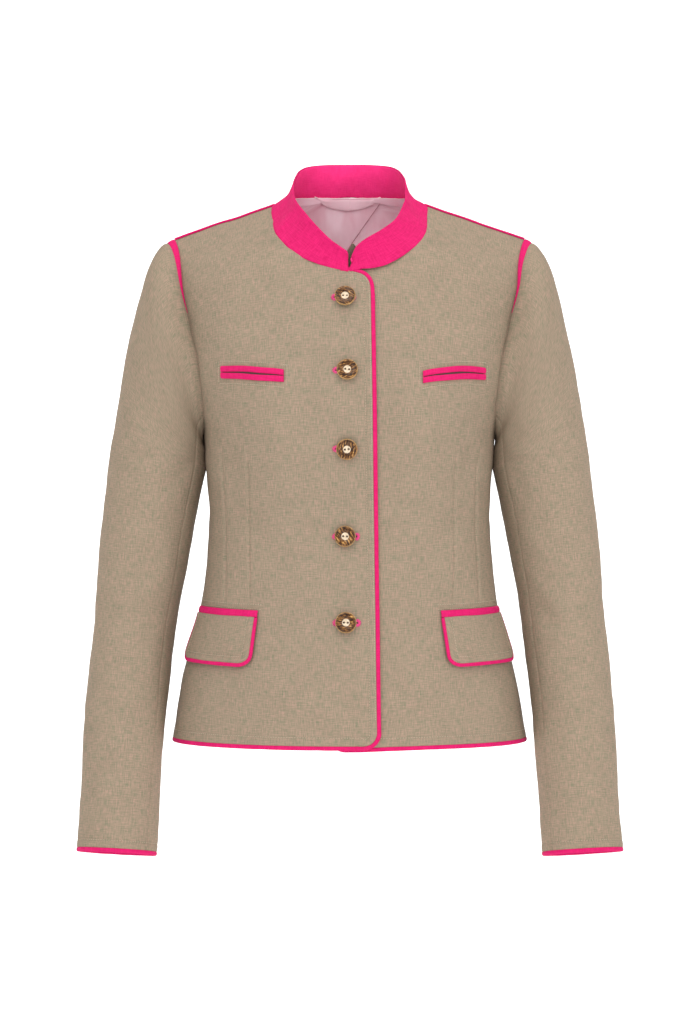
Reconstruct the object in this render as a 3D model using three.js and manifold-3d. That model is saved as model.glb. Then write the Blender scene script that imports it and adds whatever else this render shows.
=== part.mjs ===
// A short fitted linen jacket with a stand collar, filled out as it is when worn, with no wearer inside.
// Millimetres, +Z up, front towards -Y, +X towards the wearer's left. The origin is the centre of the neck's base,
// level with the side neck points, where the jacket hangs from the wearer.
import * as THREE from "three";
import { mergeVertices } from "three/addons/utils/BufferGeometryUtils.js";
import Module from "manifold-3d";

const wasm = await Module();
wasm.setup();

// Driving sizes
const WALL = 2; // linen with its interfacing
const SLEEVE_WALL = 1.8;
const LINING_WALL = 1;
const SEAM = 0.3; // gap between two sewn pieces
const LAP_RIGHT = { top: 20.3, hem: 26.7 }; // how far the right front runs past the centre front
const LAP_LEFT = 17; // how far the left front runs under it
const LAP_CORNER = 20; // the height of the right front's rounded upper corner
const LAP_SQUARE = 3; // how square that corner is: 2 would make it an ellipse
const HEM_CORNER = 13; // radius of the fronts' lower corners
const UNDERLAP_AIR = 1.2; // between the two fronts where they lap
const UNDERLAP_DROP = 2; // the left front's hem hangs this much lower at the centre
const PIPING = { width: 4.2, thick: 2.2 };
const SHOULDER_PIPING = { width: 3.4, thick: 3, above: 1.9 };
const LINING_AIR = 1.4; // between the back and its lining
const COLLAR_WALL = 2.4;
const COLLAR_HOLLOW = 2.6; // how far the stand curves in, halfway up
const COLLAR_CORNER = 13;
const COLLAR_GAP = 1.6;
const COLLAR_SEAT = 0.7; // how far its foot stands above the neckline
const INSERT_WIDTH = 7.2; // the pink insert at the shoulder point
const INSERT_REACH = 0.43; // the share of the armhole's half over which it tapers away
const BUST = { x: 80, z: -238, height: 9, spread: 42, above: 72, below: 50 };
const CHEST_WELT = {
  left: { inner: 71.5, outer: 134, centreZ: -178.3, arch: 2.3 },
  right: { inner: 64, outer: 126.5, centreZ: -177, arch: 0.5 },
  tilt: 5.4,
  tall: 5.3,
  thick: 1.4,
  swell: 0.5, // how far a welt's middle stands out
  gap: 0.9,
};
const FLAP = {
  inner: 90.5, // the flap's inner edge, from the centre
  lean: 0.12, // how much that edge leans outward on its way down
  outerShare: 0.87, // where its outer end is, from the centre (0) to the side seam (1)
  top: -416.5,
  slant: 2.2, // how much higher its outer end is
  wide: 88,
  tall: 45,
  corner: 10,
  stand: 3, // how far the lower edge stands off the cloth
  wall: 2,
  piping: { width: 3.6, thick: 2.4 },
  welt: 6,
  weltWall: 1.6,
  weltAbove: 0.7, // between the flap's top edge and its welt
  weltSwell: 0.5,
  air: 1, // between the flap or its welt and the cloth
};
const BUTTON = {
  radius: 10.6,
  thick: 4,
  dish: 5.2, // radius of the hollow round the holes
  dishDepth: 1,
  hole: 1.1, // radius of a sewing hole
  holeApart: 3.6,
  shank: 1.4, // height of the thread shank
  shankRadius: 2,
  air: 0.5, // between the shank and the cloth
  sides: 20,
};
const BUTTON_PLACES = [
  { x: -4.2, z: -101.5 },
  { x: -2.2, z: -174.5 },
  { x: -2.6, z: -251 },
  { x: -4.2, z: -336.5 },
  { x: -3.4, z: -420.5 },
];
const LOOP = { right: -46, left: 40, z: 11, sag: 8, wide: 6.4, thick: 1, air: 1, lean: 1.4 };
const FACING = {
  thick: 1.2,
  rows: [
    { z: -92, y: -82.9, right: -8, left: 11 },
    { z: -80, y: -78, right: -8, left: 11 },
    { z: -70, y: -74.9, right: -7.5, left: 10 },
    { z: -58, y: -74.2, right: -5, left: 9 },
    { z: -51, y: -74, right: 0.6, left: 7 },
    { z: -47, y: -74, right: 2.4, left: 3.8 },
  ],
};

// The body's rows, from the hem (0) to the shoulder seam (15). The centre lines and the side line are carried on past
// the neck and the armholes, which are cut out of the smooth surface between them. full is how square the row's
// quarter turn is, and round is 1 for a quarter turn and 0 for the straight shoulder seam.
const BODY_ROWS = [
  { frontY: -122, frontZ: -540, backY: 116, backZ: -540, sideX: 180, sideZ: -540, frontSideY: 0, backSideY: 0, full: 0.56, round: 1 },
  { frontY: -122, frontZ: -478, backY: 114, backZ: -478, sideX: 169, sideZ: -478, frontSideY: 0, backSideY: 0, full: 0.56, round: 1 },
  { frontY: -115, frontZ: -408, backY: 103, backZ: -408, sideX: 151.5, sideZ: -408, frontSideY: 0, backSideY: 0, full: 0.57, round: 1 },
  { frontY: -106, frontZ: -330, backY: 89, backZ: -330, sideX: 143.4, sideZ: -330, frontSideY: 0, backSideY: 0, full: 0.57, round: 1 },
  { frontY: -111, frontZ: -280, backY: 92, backZ: -280, sideX: 144.5, sideZ: -280, frontSideY: 0, backSideY: 0, full: 0.58, round: 1 },
  { frontY: -117, frontZ: -236, backY: 100, backZ: -236, sideX: 148, sideZ: -236, frontSideY: 0, backSideY: 0, full: 0.6, round: 1 },
  { frontY: -118, frontZ: -208, backY: 106, backZ: -202, sideX: 152, sideZ: -214, frontSideY: 0, backSideY: 0, full: 0.62, round: 1 },
  { frontY: -115, frontZ: -180, backY: 110, backZ: -166, sideX: 157, sideZ: -193, frontSideY: 0, backSideY: 0, full: 0.64, round: 1 },
  { frontY: -109, frontZ: -152, backY: 111, backZ: -130, sideX: 161.5, sideZ: -172, frontSideY: 0, backSideY: 0, full: 0.65, round: 1 },
  { frontY: -101, frontZ: -125, backY: 108.5, backZ: -94, sideX: 165.5, sideZ: -151, frontSideY: 0, backSideY: 0, full: 0.65, round: 1 },
  { frontY: -92, frontZ: -98, backY: 103, backZ: -58, sideX: 169, sideZ: -130, frontSideY: -2, backSideY: 3, full: 0.65, round: 1 },
  { frontY: -82, frontZ: -72, backY: 92, backZ: -20, sideX: 172, sideZ: -110, frontSideY: -7, backSideY: 9, full: 0.65, round: 1 },
  { frontY: -70, frontZ: -46, backY: 77, backZ: 18, sideX: 174.5, sideZ: -90, frontSideY: -13, backSideY: 17, full: 0.64, round: 0.94 },
  { frontY: -51, frontZ: -20, backY: 59, backZ: 32, sideX: 176.5, sideZ: -71, frontSideY: -16, backSideY: 21, full: 0.6, round: 0.72 },
  { frontY: -27, frontZ: 4, backY: 31, backZ: 31, sideX: 178, sideZ: -53, frontSideY: -11, backSideY: 15, full: 0.52, round: 0.4 },
  { frontY: 0, frontZ: 26, backY: 0, backZ: 26, sideX: 178.5, sideZ: -34.5, frontSideY: 2, backSideY: 2, full: 0.5, round: 0 },
];
const ROWS = 15;
const UNDERARM_ROW = 5;
const NECK_ROW = { front: 11, back: 12 };

// How far the neckline lies from the centre, at every half row from the neck row to the shoulder seam
const NECK_REACH = {
  front: [0, 33, 51, 62.5, 70.5, 75, 77.5, 78.6, 79],
  back: [0, 40, 56, 65.5, 72, 76.5, 79],
};

// The armhole, all round from the underarm: up the front to the shoulder point and down the back, every 18 degrees,
// as a row and the share of it at which the panel ends
const ARMHOLE = [
  { row: 5, share: 1 },
  { row: 5.25, share: 0.896 },
  { row: 5.87, share: 0.825 },
  { row: 6.8, share: 0.775 },
  { row: 8.1, share: 0.745 },
  { row: 9.45, share: 0.765 },
  { row: 10.8, share: 0.8 },
  { row: 12.15, share: 0.85 },
  { row: 13.5, share: 0.925 },
  { row: 14.6, share: 0.98 },
  { row: 15, share: 1 },
  { row: 14.6, share: 0.98 },
  { row: 13.5, share: 0.91 },
  { row: 12.15, share: 0.82 },
  { row: 10.8, share: 0.775 },
  { row: 9.45, share: 0.755 },
  { row: 8.1, share: 0.745 },
  { row: 6.8, share: 0.765 },
  { row: 5.87, share: 0.81 },
  { row: 5.25, share: 0.89 },
];

// The collar's free edge, from the centre front to the centre back.
const COLLAR_TOP = [
  { x: 0.8, y: -80, z: -53 },
  { x: 18, y: -77, z: -43 },
  { x: 33.5, y: -67, z: -27 },
  { x: 48, y: -50, z: -9 },
  { x: 56, y: -27, z: 5 },
  { x: 58, y: -6, z: 17 },
  { x: 56, y: 14, z: 31 },
  { x: 49, y: 35, z: 41 },
  { x: 32, y: 56, z: 47 },
  { x: 0, y: 66, z: 49.5 },
];

// The left sleeve's sections, from the armhole round the shoulder to the cuff: the point under the arm, the point
// farthest out, the foremost and rearmost depths, and how much the section's front is raised.
const SLEEVE_ROWS = [
  { underX: 148, underZ: -236, crownX: 178.5, crownZ: -34.5, front: -50, back: 49.5, tilt: 0 },
  { underX: 148.5, underZ: -240, crownX: 191.5, crownZ: -40, front: -55, back: 53, tilt: 0 },
  { underX: 148.7, underZ: -244, crownX: 202.5, crownZ: -58, front: -57.5, back: 55, tilt: 0 },
  { underX: 148.8, underZ: -248, crownX: 211, crownZ: -85, front: -58.5, back: 56, tilt: 0 },
  { underX: 148.8, underZ: -253, crownX: 219.5, crownZ: -120, front: -58.5, back: 56, tilt: 0 },
  { underX: 148.8, underZ: -259, crownX: 228.7, crownZ: -164, front: -57.5, back: 56, tilt: 0 },
  { underX: 148.9, underZ: -266, crownX: 237.2, crownZ: -214, front: -55.5, back: 55.5, tilt: 0 },
  { underX: 148.6, underZ: -276, crownX: 244.4, crownZ: -262, front: -53, back: 54.5, tilt: 0.5 },
  { underX: 162, underZ: -347, crownX: 252.3, crownZ: -334, front: -50, back: 50, tilt: 1.5 },
  { underX: 174.2, underZ: -418.5, crownX: 258.6, crownZ: -409.5, front: -50.5, back: 42.5, tilt: 4 },
  { underX: 182.6, underZ: -490, crownX: 264.6, crownZ: -484, front: -56.5, back: 30.5, tilt: 6 },
  { underX: 188.6, underZ: -564, crownX: 269.4, crownZ: -560.5, front: -65.4, back: 15.4, tilt: 6.6 },
  { underX: 193.6, underZ: -653, crownX: 273.6, crownZ: -648.5, front: -76.9, back: -1.1, tilt: 6.3 },
];
const CUFF = SLEEVE_ROWS.length - 1; // the last section
const SETTLE = 3; // the sections over which the armhole's own shape fades into the sleeve's
const SEAM_ANGLE = { front: 36, back: 306 }; // the sleeve's two seams, in degrees from the underarm towards the front

// Small vector tools, on points as [x, y, z]
const add = (a, b, k = 1) => [a[0] + b[0] * k, a[1] + b[1] * k, a[2] + b[2] * k];
const sub = (a, b) => add(a, b, -1);
const cross = (a, b) => [a[1] * b[2] - a[2] * b[1], a[2] * b[0] - a[0] * b[2], a[0] * b[1] - a[1] * b[0]];
const length = (a) => Math.hypot(...a);
const unit = (a) => a.map((v) => v / length(a));
const mix = (a, b, t) => a.map((v, k) => v + (b[k] - v) * t);
const mirror = ([x, y, z]) => [-x, y, z];
const radians = THREE.MathUtils.degToRad;
const smoothstep = THREE.MathUtils.smoothstep;
const gauss = (x) => Math.exp(-x * x);

// Passes smoothly through a table's rows. t is 0 at the first row and 1 more at each row after it.
function through(table, t, column) {
  const last = table.length - 1;
  const k = Math.min(Math.max(Math.floor(t), 0), last - 1);
  const f = t - k;
  const value = (n) => (column ? table[n][column] : table[n]);
  const slope = (n) => {
    if (n === 0) return value(1) - value(0);
    if (n === last) return value(last) - value(last - 1);
    return (value(n + 1) - value(n - 1)) / 2;
  };
  const f2 = f * f;
  const f3 = f2 * f;
  return (
    (2 * f3 - 3 * f2 + 1) * value(k) +
    (f3 - 2 * f2 + f) * slope(k) +
    (3 * f2 - 2 * f3) * value(k + 1) +
    (f3 - f2) * slope(k + 1)
  );
}
// The same on a closed table, whose last row leads back to its first
function throughLoop(table, t, column) {
  const count = table.length;
  const k = Math.floor(t);
  const near = [-1, 0, 1, 2].map((step) => ({ [column]: table[(k + step + count) % count][column] }));
  return through(near, 1 + t - k, column);
}
const pointOn = (table, t) => ["x", "y", "z"].map((column) => through(table, t, column));

function bustAt(x, z) {
  const tall = z > BUST.z ? BUST.above : BUST.below;
  return BUST.height * gauss((x - BUST.x) / BUST.spread) * gauss((z - BUST.z) / tall);
}

// A point of the body's outer face on the wearer's left: s is 0 at the centre line and 1 at the side line. A negative
// s gives the mirrored point on the right.
function body(part, row, s) {
  const at = (column) => through(BODY_ROWS, row, column);
  const from = [0, at(`${part}Y`), at(`${part}Z`)];
  const to = [at("sideX"), at(`${part}SideY`), at("sideZ")];
  const full = at("full");
  const round = at("round");
  const run = [to[0], to[1] - from[1]];
  const straight = (1 - round) / 3;
  const first = [(full * round + straight) * run[0], straight * run[1]];
  const second = [straight * run[0], (full * round + straight) * run[1]];
  const t = Math.abs(s);
  const u = 1 - t;
  const b1 = 3 * u * u * t;
  const b2 = 3 * u * t * t;
  const b3 = t * t * t;
  const x = b1 * first[0] + b2 * (run[0] - second[0]) + b3 * run[0];
  const z = from[2] + (to[2] - from[2]) * t;
  let y = from[1] + b1 * first[1] + b2 * (run[1] - second[1]) + b3 * run[1];
  if (part === "front") y -= bustAt(x, z);
  return [Math.sign(s || 1) * x, y, z];
}

// The body's outward direction at a point of it. The two sides of the shoulder seam share one.
function bodyNormal(part, row, s) {
  if (row > ROWS - 0.1 && part !== "both") {
    return unit(add(bodyNormal("both", row, s), bodyNormal(part, ROWS - 0.1, s), (ROWS - row) * 5));
  }
  const slant = (one, level) => {
    const d = 0.01;
    const across = sub(body(one, level, s + d), body(one, level, s - d));
    const up = sub(body(one, level + d, s), body(one, level - d, s));
    const n = unit(cross(across, up));
    return one === "front" ? n : n.map((v) => -v);
  };
  if (part !== "both") return slant(part, row);
  return unit(add(slant("front", ROWS - 0.1), slant("back", ROWS - 0.1)));
}

function solve(goal, target, low, high) {
  for (let n = 0; n < 40; n += 1) {
    const middle = (low + high) / 2;
    if (goal(middle) < target) low = middle;
    else high = middle;
  }
  return (low + high) / 2;
}
const shareAtX = (part, row, x) => Math.sign(x) * solve((s) => body(part, row, s)[0], Math.abs(x), 0, 1);

// The shares of a row at which the neck and the armhole cut it
function neckShare(part, row) {
  const above = row - NECK_ROW[part];
  return above <= 0 ? 0 : shareAtX(part, row, Math.max(through(NECK_REACH[part], above * 2), 0.01));
}
function armholeEdge(angle) {
  const at = (column) => throughLoop(ARMHOLE, angle / 18, column);
  return { part: angle <= 180 ? "front" : "back", row: Math.min(at("row"), ROWS), s: Math.min(at("share"), 1) };
}
function armholeShare(part, row) {
  if (row <= UNDERARM_ROW || row >= ROWS) return 1;
  const angle = part === "front" ? (a) => a : (a) => 360 - a;
  return armholeEdge(angle(solve((a) => armholeEdge(angle(a)).row, row, 0, 180))).s;
}
const armhole = (angle) => {
  const { part, row, s } = armholeEdge(angle);
  return body(part, row, s);
};

// The row and s of a part's point at a given x and z
function placeOn(part, x, z) {
  let row = 8;
  let s = 0;
  for (let n = 0; n < 12; n += 1) {
    s = shareAtX(part, row, x);
    const step = 0.02;
    const here = body(part, row, s)[2];
    const rise = (body(part, row + step, s)[2] - here) / step;
    row = Math.min(Math.max(row + (z - here) / rise, 0), ROWS);
  }
  return { row, s };
}
// A point at a height above the cloth, with the cloth's outward direction
function onBody(part, row, s, height) {
  const out = bodyNormal(part, row, s);
  return { point: add(body(part, row, s), out, height), out };
}
function onFront(x, z, height) {
  const { row, s } = placeOn("front", x, z);
  return onBody("front", row, s, height);
}
const sided = (main, { point, out, ...rest }) =>
  main < 0 ? { point: mirror(point), out: mirror(out), ...rest } : { point, out, ...rest };

// Solids. A closed mesh from corners and faces, turned so that its faces point out.
function closedGeometry(corners, faces) {
  let volume = 0;
  faces.forEach(([a, b, c]) => {
    const n = cross(corners[b], corners[c]);
    volume += corners[a][0] * n[0] + corners[a][1] * n[1] + corners[a][2] * n[2];
  });
  const turned = volume < 0 ? faces.map(([a, b, c]) => [a, c, b]) : faces;
  const geometry = new THREE.BufferGeometry();
  geometry.setAttribute("position", new THREE.Float32BufferAttribute(corners.flat(), 3));
  geometry.setIndex(turned.flat());
  return geometry;
}

// A cloth wall behind a grid of outer points, each with its outward direction. kept(i, j) says which cells exist.
function wall(grid, thick, kept = () => true) {
  const rows = grid.length;
  const columns = grid[0].length;
  const corners = grid.flat().flatMap(({ point, out }) => [point, add(point, out, -thick)]);
  const index = (i, j, inner) => (i * columns + j) * 2 + inner;
  const present = (i, j) => i >= 0 && j >= 0 && i < rows - 1 && j < columns - 1 && kept(i, j);
  const faces = [];
  const quad = (a, b, c, d) => faces.push([a, b, c], [a, c, d]);
  for (let i = 0; i < rows - 1; i += 1)
    for (let j = 0; j < columns - 1; j += 1) {
      if (!present(i, j)) continue;
      const loop = [[i, j], [i, j + 1], [i + 1, j + 1], [i + 1, j]];
      const outside = loop.map(([a, b]) => index(a, b, 0));
      const inside = loop.map(([a, b]) => index(a, b, 1));
      quad(...outside);
      quad(inside[0], inside[3], inside[2], inside[1]);
      const beside = [present(i - 1, j), present(i, j + 1), present(i + 1, j), present(i, j - 1)];
      beside.forEach((joined, k) => {
        const m = (k + 1) % 4;
        if (!joined) quad(outside[m], outside[k], inside[k], inside[m]);
      });
    }
  const used = [...new Set(faces.flat())].sort((a, b) => a - b);
  const renumber = new Map(used.map((v, k) => [v, k]));
  return closedGeometry(used.map((v) => corners[v]), faces.map((f) => f.map((v) => renumber.get(v))));
}

// A strip with a rounded section along stations, each with a middle, an across direction and an outward direction
const ROUNDED = [[0.5, 0], [0.28, 0.5], [-0.28, 0.5], [-0.5, 0], [-0.28, -0.5], [0.28, -0.5]];
function strip(stations, width, thick, ring = false) {
  const corners = stations.flatMap(({ middle, across, out }) =>
    ROUNDED.map(([a, b]) => add(add(middle, across, a * width), out, b * thick)),
  );
  const sides = ROUNDED.length;
  const faces = [];
  const spans = ring ? stations.length : stations.length - 1;
  for (let i = 0; i < spans; i += 1)
    for (let k = 0; k < sides; k += 1) {
      const a = i * sides + k;
      const b = i * sides + ((k + 1) % sides);
      const next = ((i + 1) % stations.length) * sides;
      const c = next + ((k + 1) % sides);
      const d = next + k;
      faces.push([a, b, c], [a, c, d]);
    }
  if (!ring) {
    const end = (stations.length - 1) * sides;
    for (let k = 1; k < sides - 1; k += 1) faces.push([0, k + 1, k], [end, end + k, end + k + 1]);
  }
  return closedGeometry(corners, faces);
}
// Stations beside a line of surface points, shift away from it. side says on which hand they lie.
function stationsAlong(line, side, shift = 0, ring = false) {
  const count = line.length;
  return line.map(({ point, out }, k) => {
    const before = line[ring ? (k + count - 1) % count : Math.max(k - 1, 0)].point;
    const after = line[ring ? (k + 1) % count : Math.min(k + 1, count - 1)].point;
    const across = unit(cross(sub(after, before), out)).map((v) => v * side);
    return { middle: add(point, across, shift), across, out };
  });
}

const steps = (from, to, count) => Array.from({ length: count + 1 }, (_, k) => from + ((to - from) * k) / count);

// The panels' rows and the shares of a row at which their columns stand
const FRONT_ROWS = [
  0, 0.1, 0.24, 0.5, 1.1, 1.7, 2.2, 3, 3.8, 4.5, 5, 5.25, 5.87, 6.8, 8.1, 9.45, 10.4, 10.75, 10.9, 11, 11.4, 12, 12.8,
  13.6, 14.4, 15,
];
const BACK_ROWS = [0, 1, 2, 3, 4, 5, 5.25, 5.87, 6.8, 8.1, 9.45, 10.8, 12, 12.4, 13, 13.7, 14.4, 15];
const FRONT_SHARES = [0.15, 0.3, 0.44, 0.58, 0.71, 0.85, 1];
const BACK_SHARES = [0, 0.15, 0.3, 0.45, 0.59, 0.73, 0.87, 1];
const SEAM_SHARE = 0.0008; // half the gap at the side and centre-back seams, as a share of a row
const SHOULDER_GAP = 0.01; // half the gap at the shoulder seam, in rows

// A share between a row's cut edges, as a share of the whole row
function between(part, row, share) {
  const low = neckShare(part, row);
  const high = armholeShare(part, row);
  return low + (high - low) * share;
}

// How far each front runs past the centre at height z
function lapEdge(side, z) {
  const hem = BODY_ROWS[0].frontZ;
  const fromHem = Math.max(z - hem, 0);
  const corner = fromHem < HEM_CORNER ? HEM_CORNER - Math.sqrt(HEM_CORNER ** 2 - (HEM_CORNER - fromHem) ** 2) : 0;
  if (side === "left") return LAP_LEFT - corner;
  const top = BODY_ROWS[NECK_ROW.front].frontZ;
  const full = LAP_RIGHT.top + ((LAP_RIGHT.hem - LAP_RIGHT.top) * (top - z)) / (top - hem);
  const below = Math.min((top - z) / LAP_CORNER, 1);
  return full * (1 - (1 - below) ** LAP_SQUARE) ** (1 / LAP_SQUARE) - corner;
}
// How deep the left front lies under the right one at x, and how much lower its hem hangs there
const underlap = (x) => (WALL + UNDERLAP_AIR) * (1 - smoothstep(x, 34, 62));
const hemDrop = (side, x) => (side === "left" ? UNDERLAP_DROP * gauss(x / 45) : 0);
const depthOf = (side, x) => (side === "left" ? -underlap(x) : 0);

// One front. Its lap columns run past the centre; x is towards its own side.
const LAP_COLUMNS = { left: [-1, -0.5, 0], right: [-1, -0.75, -0.4, 0] };
function frontPanel(side) {
  const main = side === "left" ? 1 : -1;
  const columns = LAP_COLUMNS[side];
  const zero = columns.length - 1;
  const grid = FRONT_ROWS.map((level) => {
    const row = Math.min(level, ROWS - SHOULDER_GAP);
    const lap = lapEdge(side, through(BODY_ROWS, Math.min(row, NECK_ROW.front), "frontZ"));
    const lapped = columns
      .slice(0, zero)
      .map((share) => (row < NECK_ROW.front ? shareAtX("front", row, share * lap) : 0));
    const rest = FRONT_SHARES.map((share) => between("front", row, share === 1 ? 1 - SEAM_SHARE : share));
    return [...lapped, neckShare("front", row), ...rest].map((s) => {
      const { point, out } = onBody("front", row, s, depthOf(side, body("front", row, s)[0]));
      const drop = row < 0.3 ? hemDrop(side, point[0]) : 0;
      return sided(main, { point: add(point, [0, 0, -drop]), out });
    });
  });
  const lapTop = FRONT_ROWS.indexOf(10.9);
  return wall(grid, WALL, (i, j) => j >= zero || i < lapTop);
}

function backPanel(main) {
  const grid = BACK_ROWS.map((level) => {
    const row = Math.min(level, ROWS - SHOULDER_GAP);
    return BACK_SHARES.map((share) => {
      const inset = Math.min(Math.max(share, row > NECK_ROW.back ? 0 : SEAM_SHARE), 1 - SEAM_SHARE);
      return sided(main, onBody("back", row, between("back", row, inset), 0));
    });
  });
  return wall(grid, WALL);
}

// The back lining hangs just inside both backs, split only where the neckline dips.
function backLining() {
  const rows = BACK_ROWS.slice(1, -1);
  const half = BACK_SHARES.slice(1).map((share) => Math.min(share, 0.985));
  const grid = rows.map((row) => {
    const middle = Math.max(neckShare("back", row) * 1.02, 0.004);
    const shares = [middle, ...half.map((share) => Math.max(between("back", row, share), middle + 0.01))];
    const left = shares.map((s) => onBody("back", row, s, -WALL - LINING_AIR));
    return [...left.map((place) => sided(-1, place)).reverse(), ...left];
  });
  const neck = rows.indexOf(NECK_ROW.back);
  return wall(grid, LINING_WALL, (i, j) => i < neck || j !== BACK_SHARES.length - 1);
}

// The neckline from the centre front to the centre back, evenly by length, and the collar that stands on it
const NECK_STEPS = 20; // the neckline's points for each row
const FRONT_STEPS = (ROWS - NECK_ROW.front) * NECK_STEPS;
const BACK_STEPS = (ROWS - NECK_ROW.back) * NECK_STEPS;
const NECKLINE = [
  ...steps(NECK_ROW.front, ROWS, FRONT_STEPS).map((row) => body("front", row, neckShare("front", row))),
  ...steps(ROWS, NECK_ROW.back, BACK_STEPS).slice(1).map((row) => body("back", row, neckShare("back", row))),
];
const NECK_LENGTHS = [0];
NECKLINE.slice(1).forEach((p, k) => NECK_LENGTHS.push(NECK_LENGTHS[k] + length(sub(p, NECKLINE[k]))));
function neckline(share) {
  const goal = share * NECK_LENGTHS.at(-1);
  const k = Math.min(Math.max(NECK_LENGTHS.findIndex((sum) => sum >= goal), 1), NECKLINE.length - 1);
  const f = (goal - NECK_LENGTHS[k - 1]) / (NECK_LENGTHS[k] - NECK_LENGTHS[k - 1]);
  return mix(NECKLINE[k - 1], NECKLINE[k], f);
}
function collarPoint(share, up) {
  const base = neckline(share);
  const away = unit([base[0], base[1], 0]);
  const foot = add(base, [0, 0, 1], COLLAR_SEAT);
  const top = pointOn(COLLAR_TOP, share * (COLLAR_TOP.length - 1));
  const fromEnd = share * NECK_LENGTHS.at(-1);
  const round = fromEnd < COLLAR_CORNER ? 1 - Math.sqrt(1 - (1 - fromEnd / COLLAR_CORNER) ** 2) : 0;
  const height = up * (1 - Math.min((round * COLLAR_CORNER) / length(sub(top, foot)), 0.7));
  const q = add(mix(foot, top, height), away, -COLLAR_HOLLOW * 4 * height * (1 - height));
  return [Math.max(q[0], COLLAR_GAP / 2), q[1], q[2]];
}
// The unit outward direction of a surface f(u, v), turned by side
function slantOf(f, u, v, side) {
  const d = 0.004;
  const along = sub(f(Math.min(u + d, 1), v), f(Math.max(u - d, 0), v));
  const up = sub(f(u, Math.min(v + d, 1)), f(u, Math.max(v - d, 0)));
  return unit(cross(along, up)).map((n) => n * side);
}
// The collar's stations stand where the panels' rows meet the neckline, with more of them at its rounded corner.
const shareAtLength = (index) => through(NECK_LENGTHS, index) / NECK_LENGTHS.at(-1);
const frontShareAt = (row) => shareAtLength((row - NECK_ROW.front) * NECK_STEPS);
const backShareAt = (row) => shareAtLength(FRONT_STEPS + (ROWS - row) * NECK_STEPS);
const COLLAR_SHARES = [
  ...[0.004, 0.012, 0.024, 0.042, 0.066],
  ...FRONT_ROWS.filter((row) => row > NECK_ROW.front).map(frontShareAt),
  ...BACK_ROWS.filter((row) => row < ROWS && row > NECK_ROW.back).reverse().map(backShareAt),
  1,
];
function collar() {
  const station = (share) =>
    steps(0, 1, 4).map((up) => {
      const out = slantOf(collarPoint, share, up, 1);
      if (share === 1) out[0] = 0;
      return { point: collarPoint(share, up), out };
    });
  const left = COLLAR_SHARES.map(station);
  const right = left.slice(0, -1).map((places) => places.map((place) => sided(-1, place)));
  return wall([...left, ...right.reverse()], COLLAR_WALL);
}

// The left sleeve: t is the section, angle is 0 under the arm, 90 at the front, 180 at the crown and 270 at the back.
function sectionPoint(t, angle) {
  const [underX, underZ, crownX, crownZ, front, back, tilt] = Object.keys(SLEEVE_ROWS[0]).map((column) =>
    through(SLEEVE_ROWS, t, column),
  );
  const a = radians(angle);
  const across = (1 - Math.cos(a)) / 2;
  return [
    underX + (crownX - underX) * across,
    (front + back) / 2 - ((back - front) / 2) * Math.sin(a),
    underZ + (crownZ - underZ) * across + tilt * Math.sin(a),
  ];
}
function sleevePoint(t, angle) {
  const turned = (angle + 360) % 360;
  const p = sectionPoint(t, turned);
  if (t >= SETTLE) return p;
  const own = sub(armhole(turned), sectionPoint(0, turned));
  return add(p, own, (1 - t / SETTLE) ** 2);
}
function onSleeve(t, angle) {
  const d = 0.02;
  const down = sub(sleevePoint(Math.min(t + d, CUFF), angle), sleevePoint(Math.max(t - d, 0), angle));
  const round = sub(sleevePoint(t, angle + 1), sleevePoint(t, angle - 1));
  return { point: sleevePoint(t, angle), out: unit(cross(down, round)) };
}
// The section at which the sleeve is a given distance from the armhole
const sectionAt = (angle, distance) =>
  solve((t) => length(sub(sleevePoint(t, angle), sleevePoint(0, angle))), distance, 0, 2);

// The insert's width at an angle round the armhole
function insertWidth(angle) {
  const away = Math.abs(angle - 180) / 180;
  return INSERT_WIDTH * Math.max(1 - (away / INSERT_REACH) ** 1.6, 0);
}
const SLEEVE_STEPS = [0, 0.5, 1.2, 2, 3, 4, 5.1, 6.1, 7, 7.7, 8.5, 9.3, 10.2, 11.1, 12];
function sleevePart(main, angles) {
  const grid = SLEEVE_STEPS.map((t) =>
    angles.map((angle) => {
      const width = insertWidth((angle + 360) % 360);
      const start = sectionAt(angle, 2 * SEAM + (width > 0 ? width + SEAM : 0));
      return sided(main, onSleeve(t < 2 ? start + ((2 - start) * t) / 2 : t, angle));
    }),
  );
  return wall(grid, SLEEVE_WALL);
}
const SLEEVE_SEAM = 0.25; // half the gap at a sleeve seam, in degrees
const UPPER_ANGLES = steps(SEAM_ANGLE.front + SLEEVE_SEAM, SEAM_ANGLE.back - SLEEVE_SEAM, 18);
const UNDER_ANGLES = steps(SEAM_ANGLE.back + SLEEVE_SEAM, SEAM_ANGLE.front + 360 - SLEEVE_SEAM, 4);

function armholeInsert(main) {
  const reach = 180 * INSERT_REACH * 0.95;
  const angles = [180 - reach, ...UPPER_ANGLES.filter((angle) => Math.abs(angle - 180) < reach - 3), 180 + reach];
  const grid = [0, 0.5, 1].map((share) =>
    angles.map((angle) => sided(main, onSleeve(sectionAt(angle, 2 * SEAM + insertWidth(angle) * share), angle))),
  );
  return wall(grid, SLEEVE_WALL);
}

function cuffPiping(main) {
  const line = steps(0, 360, 24).slice(0, -1).map((angle) => {
    const { point, out } = onSleeve(CUFF, angle);
    return sided(main, { point: add(point, out, -SLEEVE_WALL / 2), out });
  });
  return strip(stationsAlong(line, main, PIPING.width / 2 + SEAM, true), PIPING.width, PIPING.thick, true);
}

function shoulderPiping(main) {
  const line = [0.012, ...FRONT_SHARES.slice(0, -1), 0.99].map((share) => {
    const s = between("front", ROWS, share);
    const out = bodyNormal("both", ROWS, s);
    return sided(main, { point: add(body("front", ROWS, s), out, SHOULDER_PIPING.above), out });
  });
  return strip(stationsAlong(line, main), SHOULDER_PIPING.width, SHOULDER_PIPING.thick);
}

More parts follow.
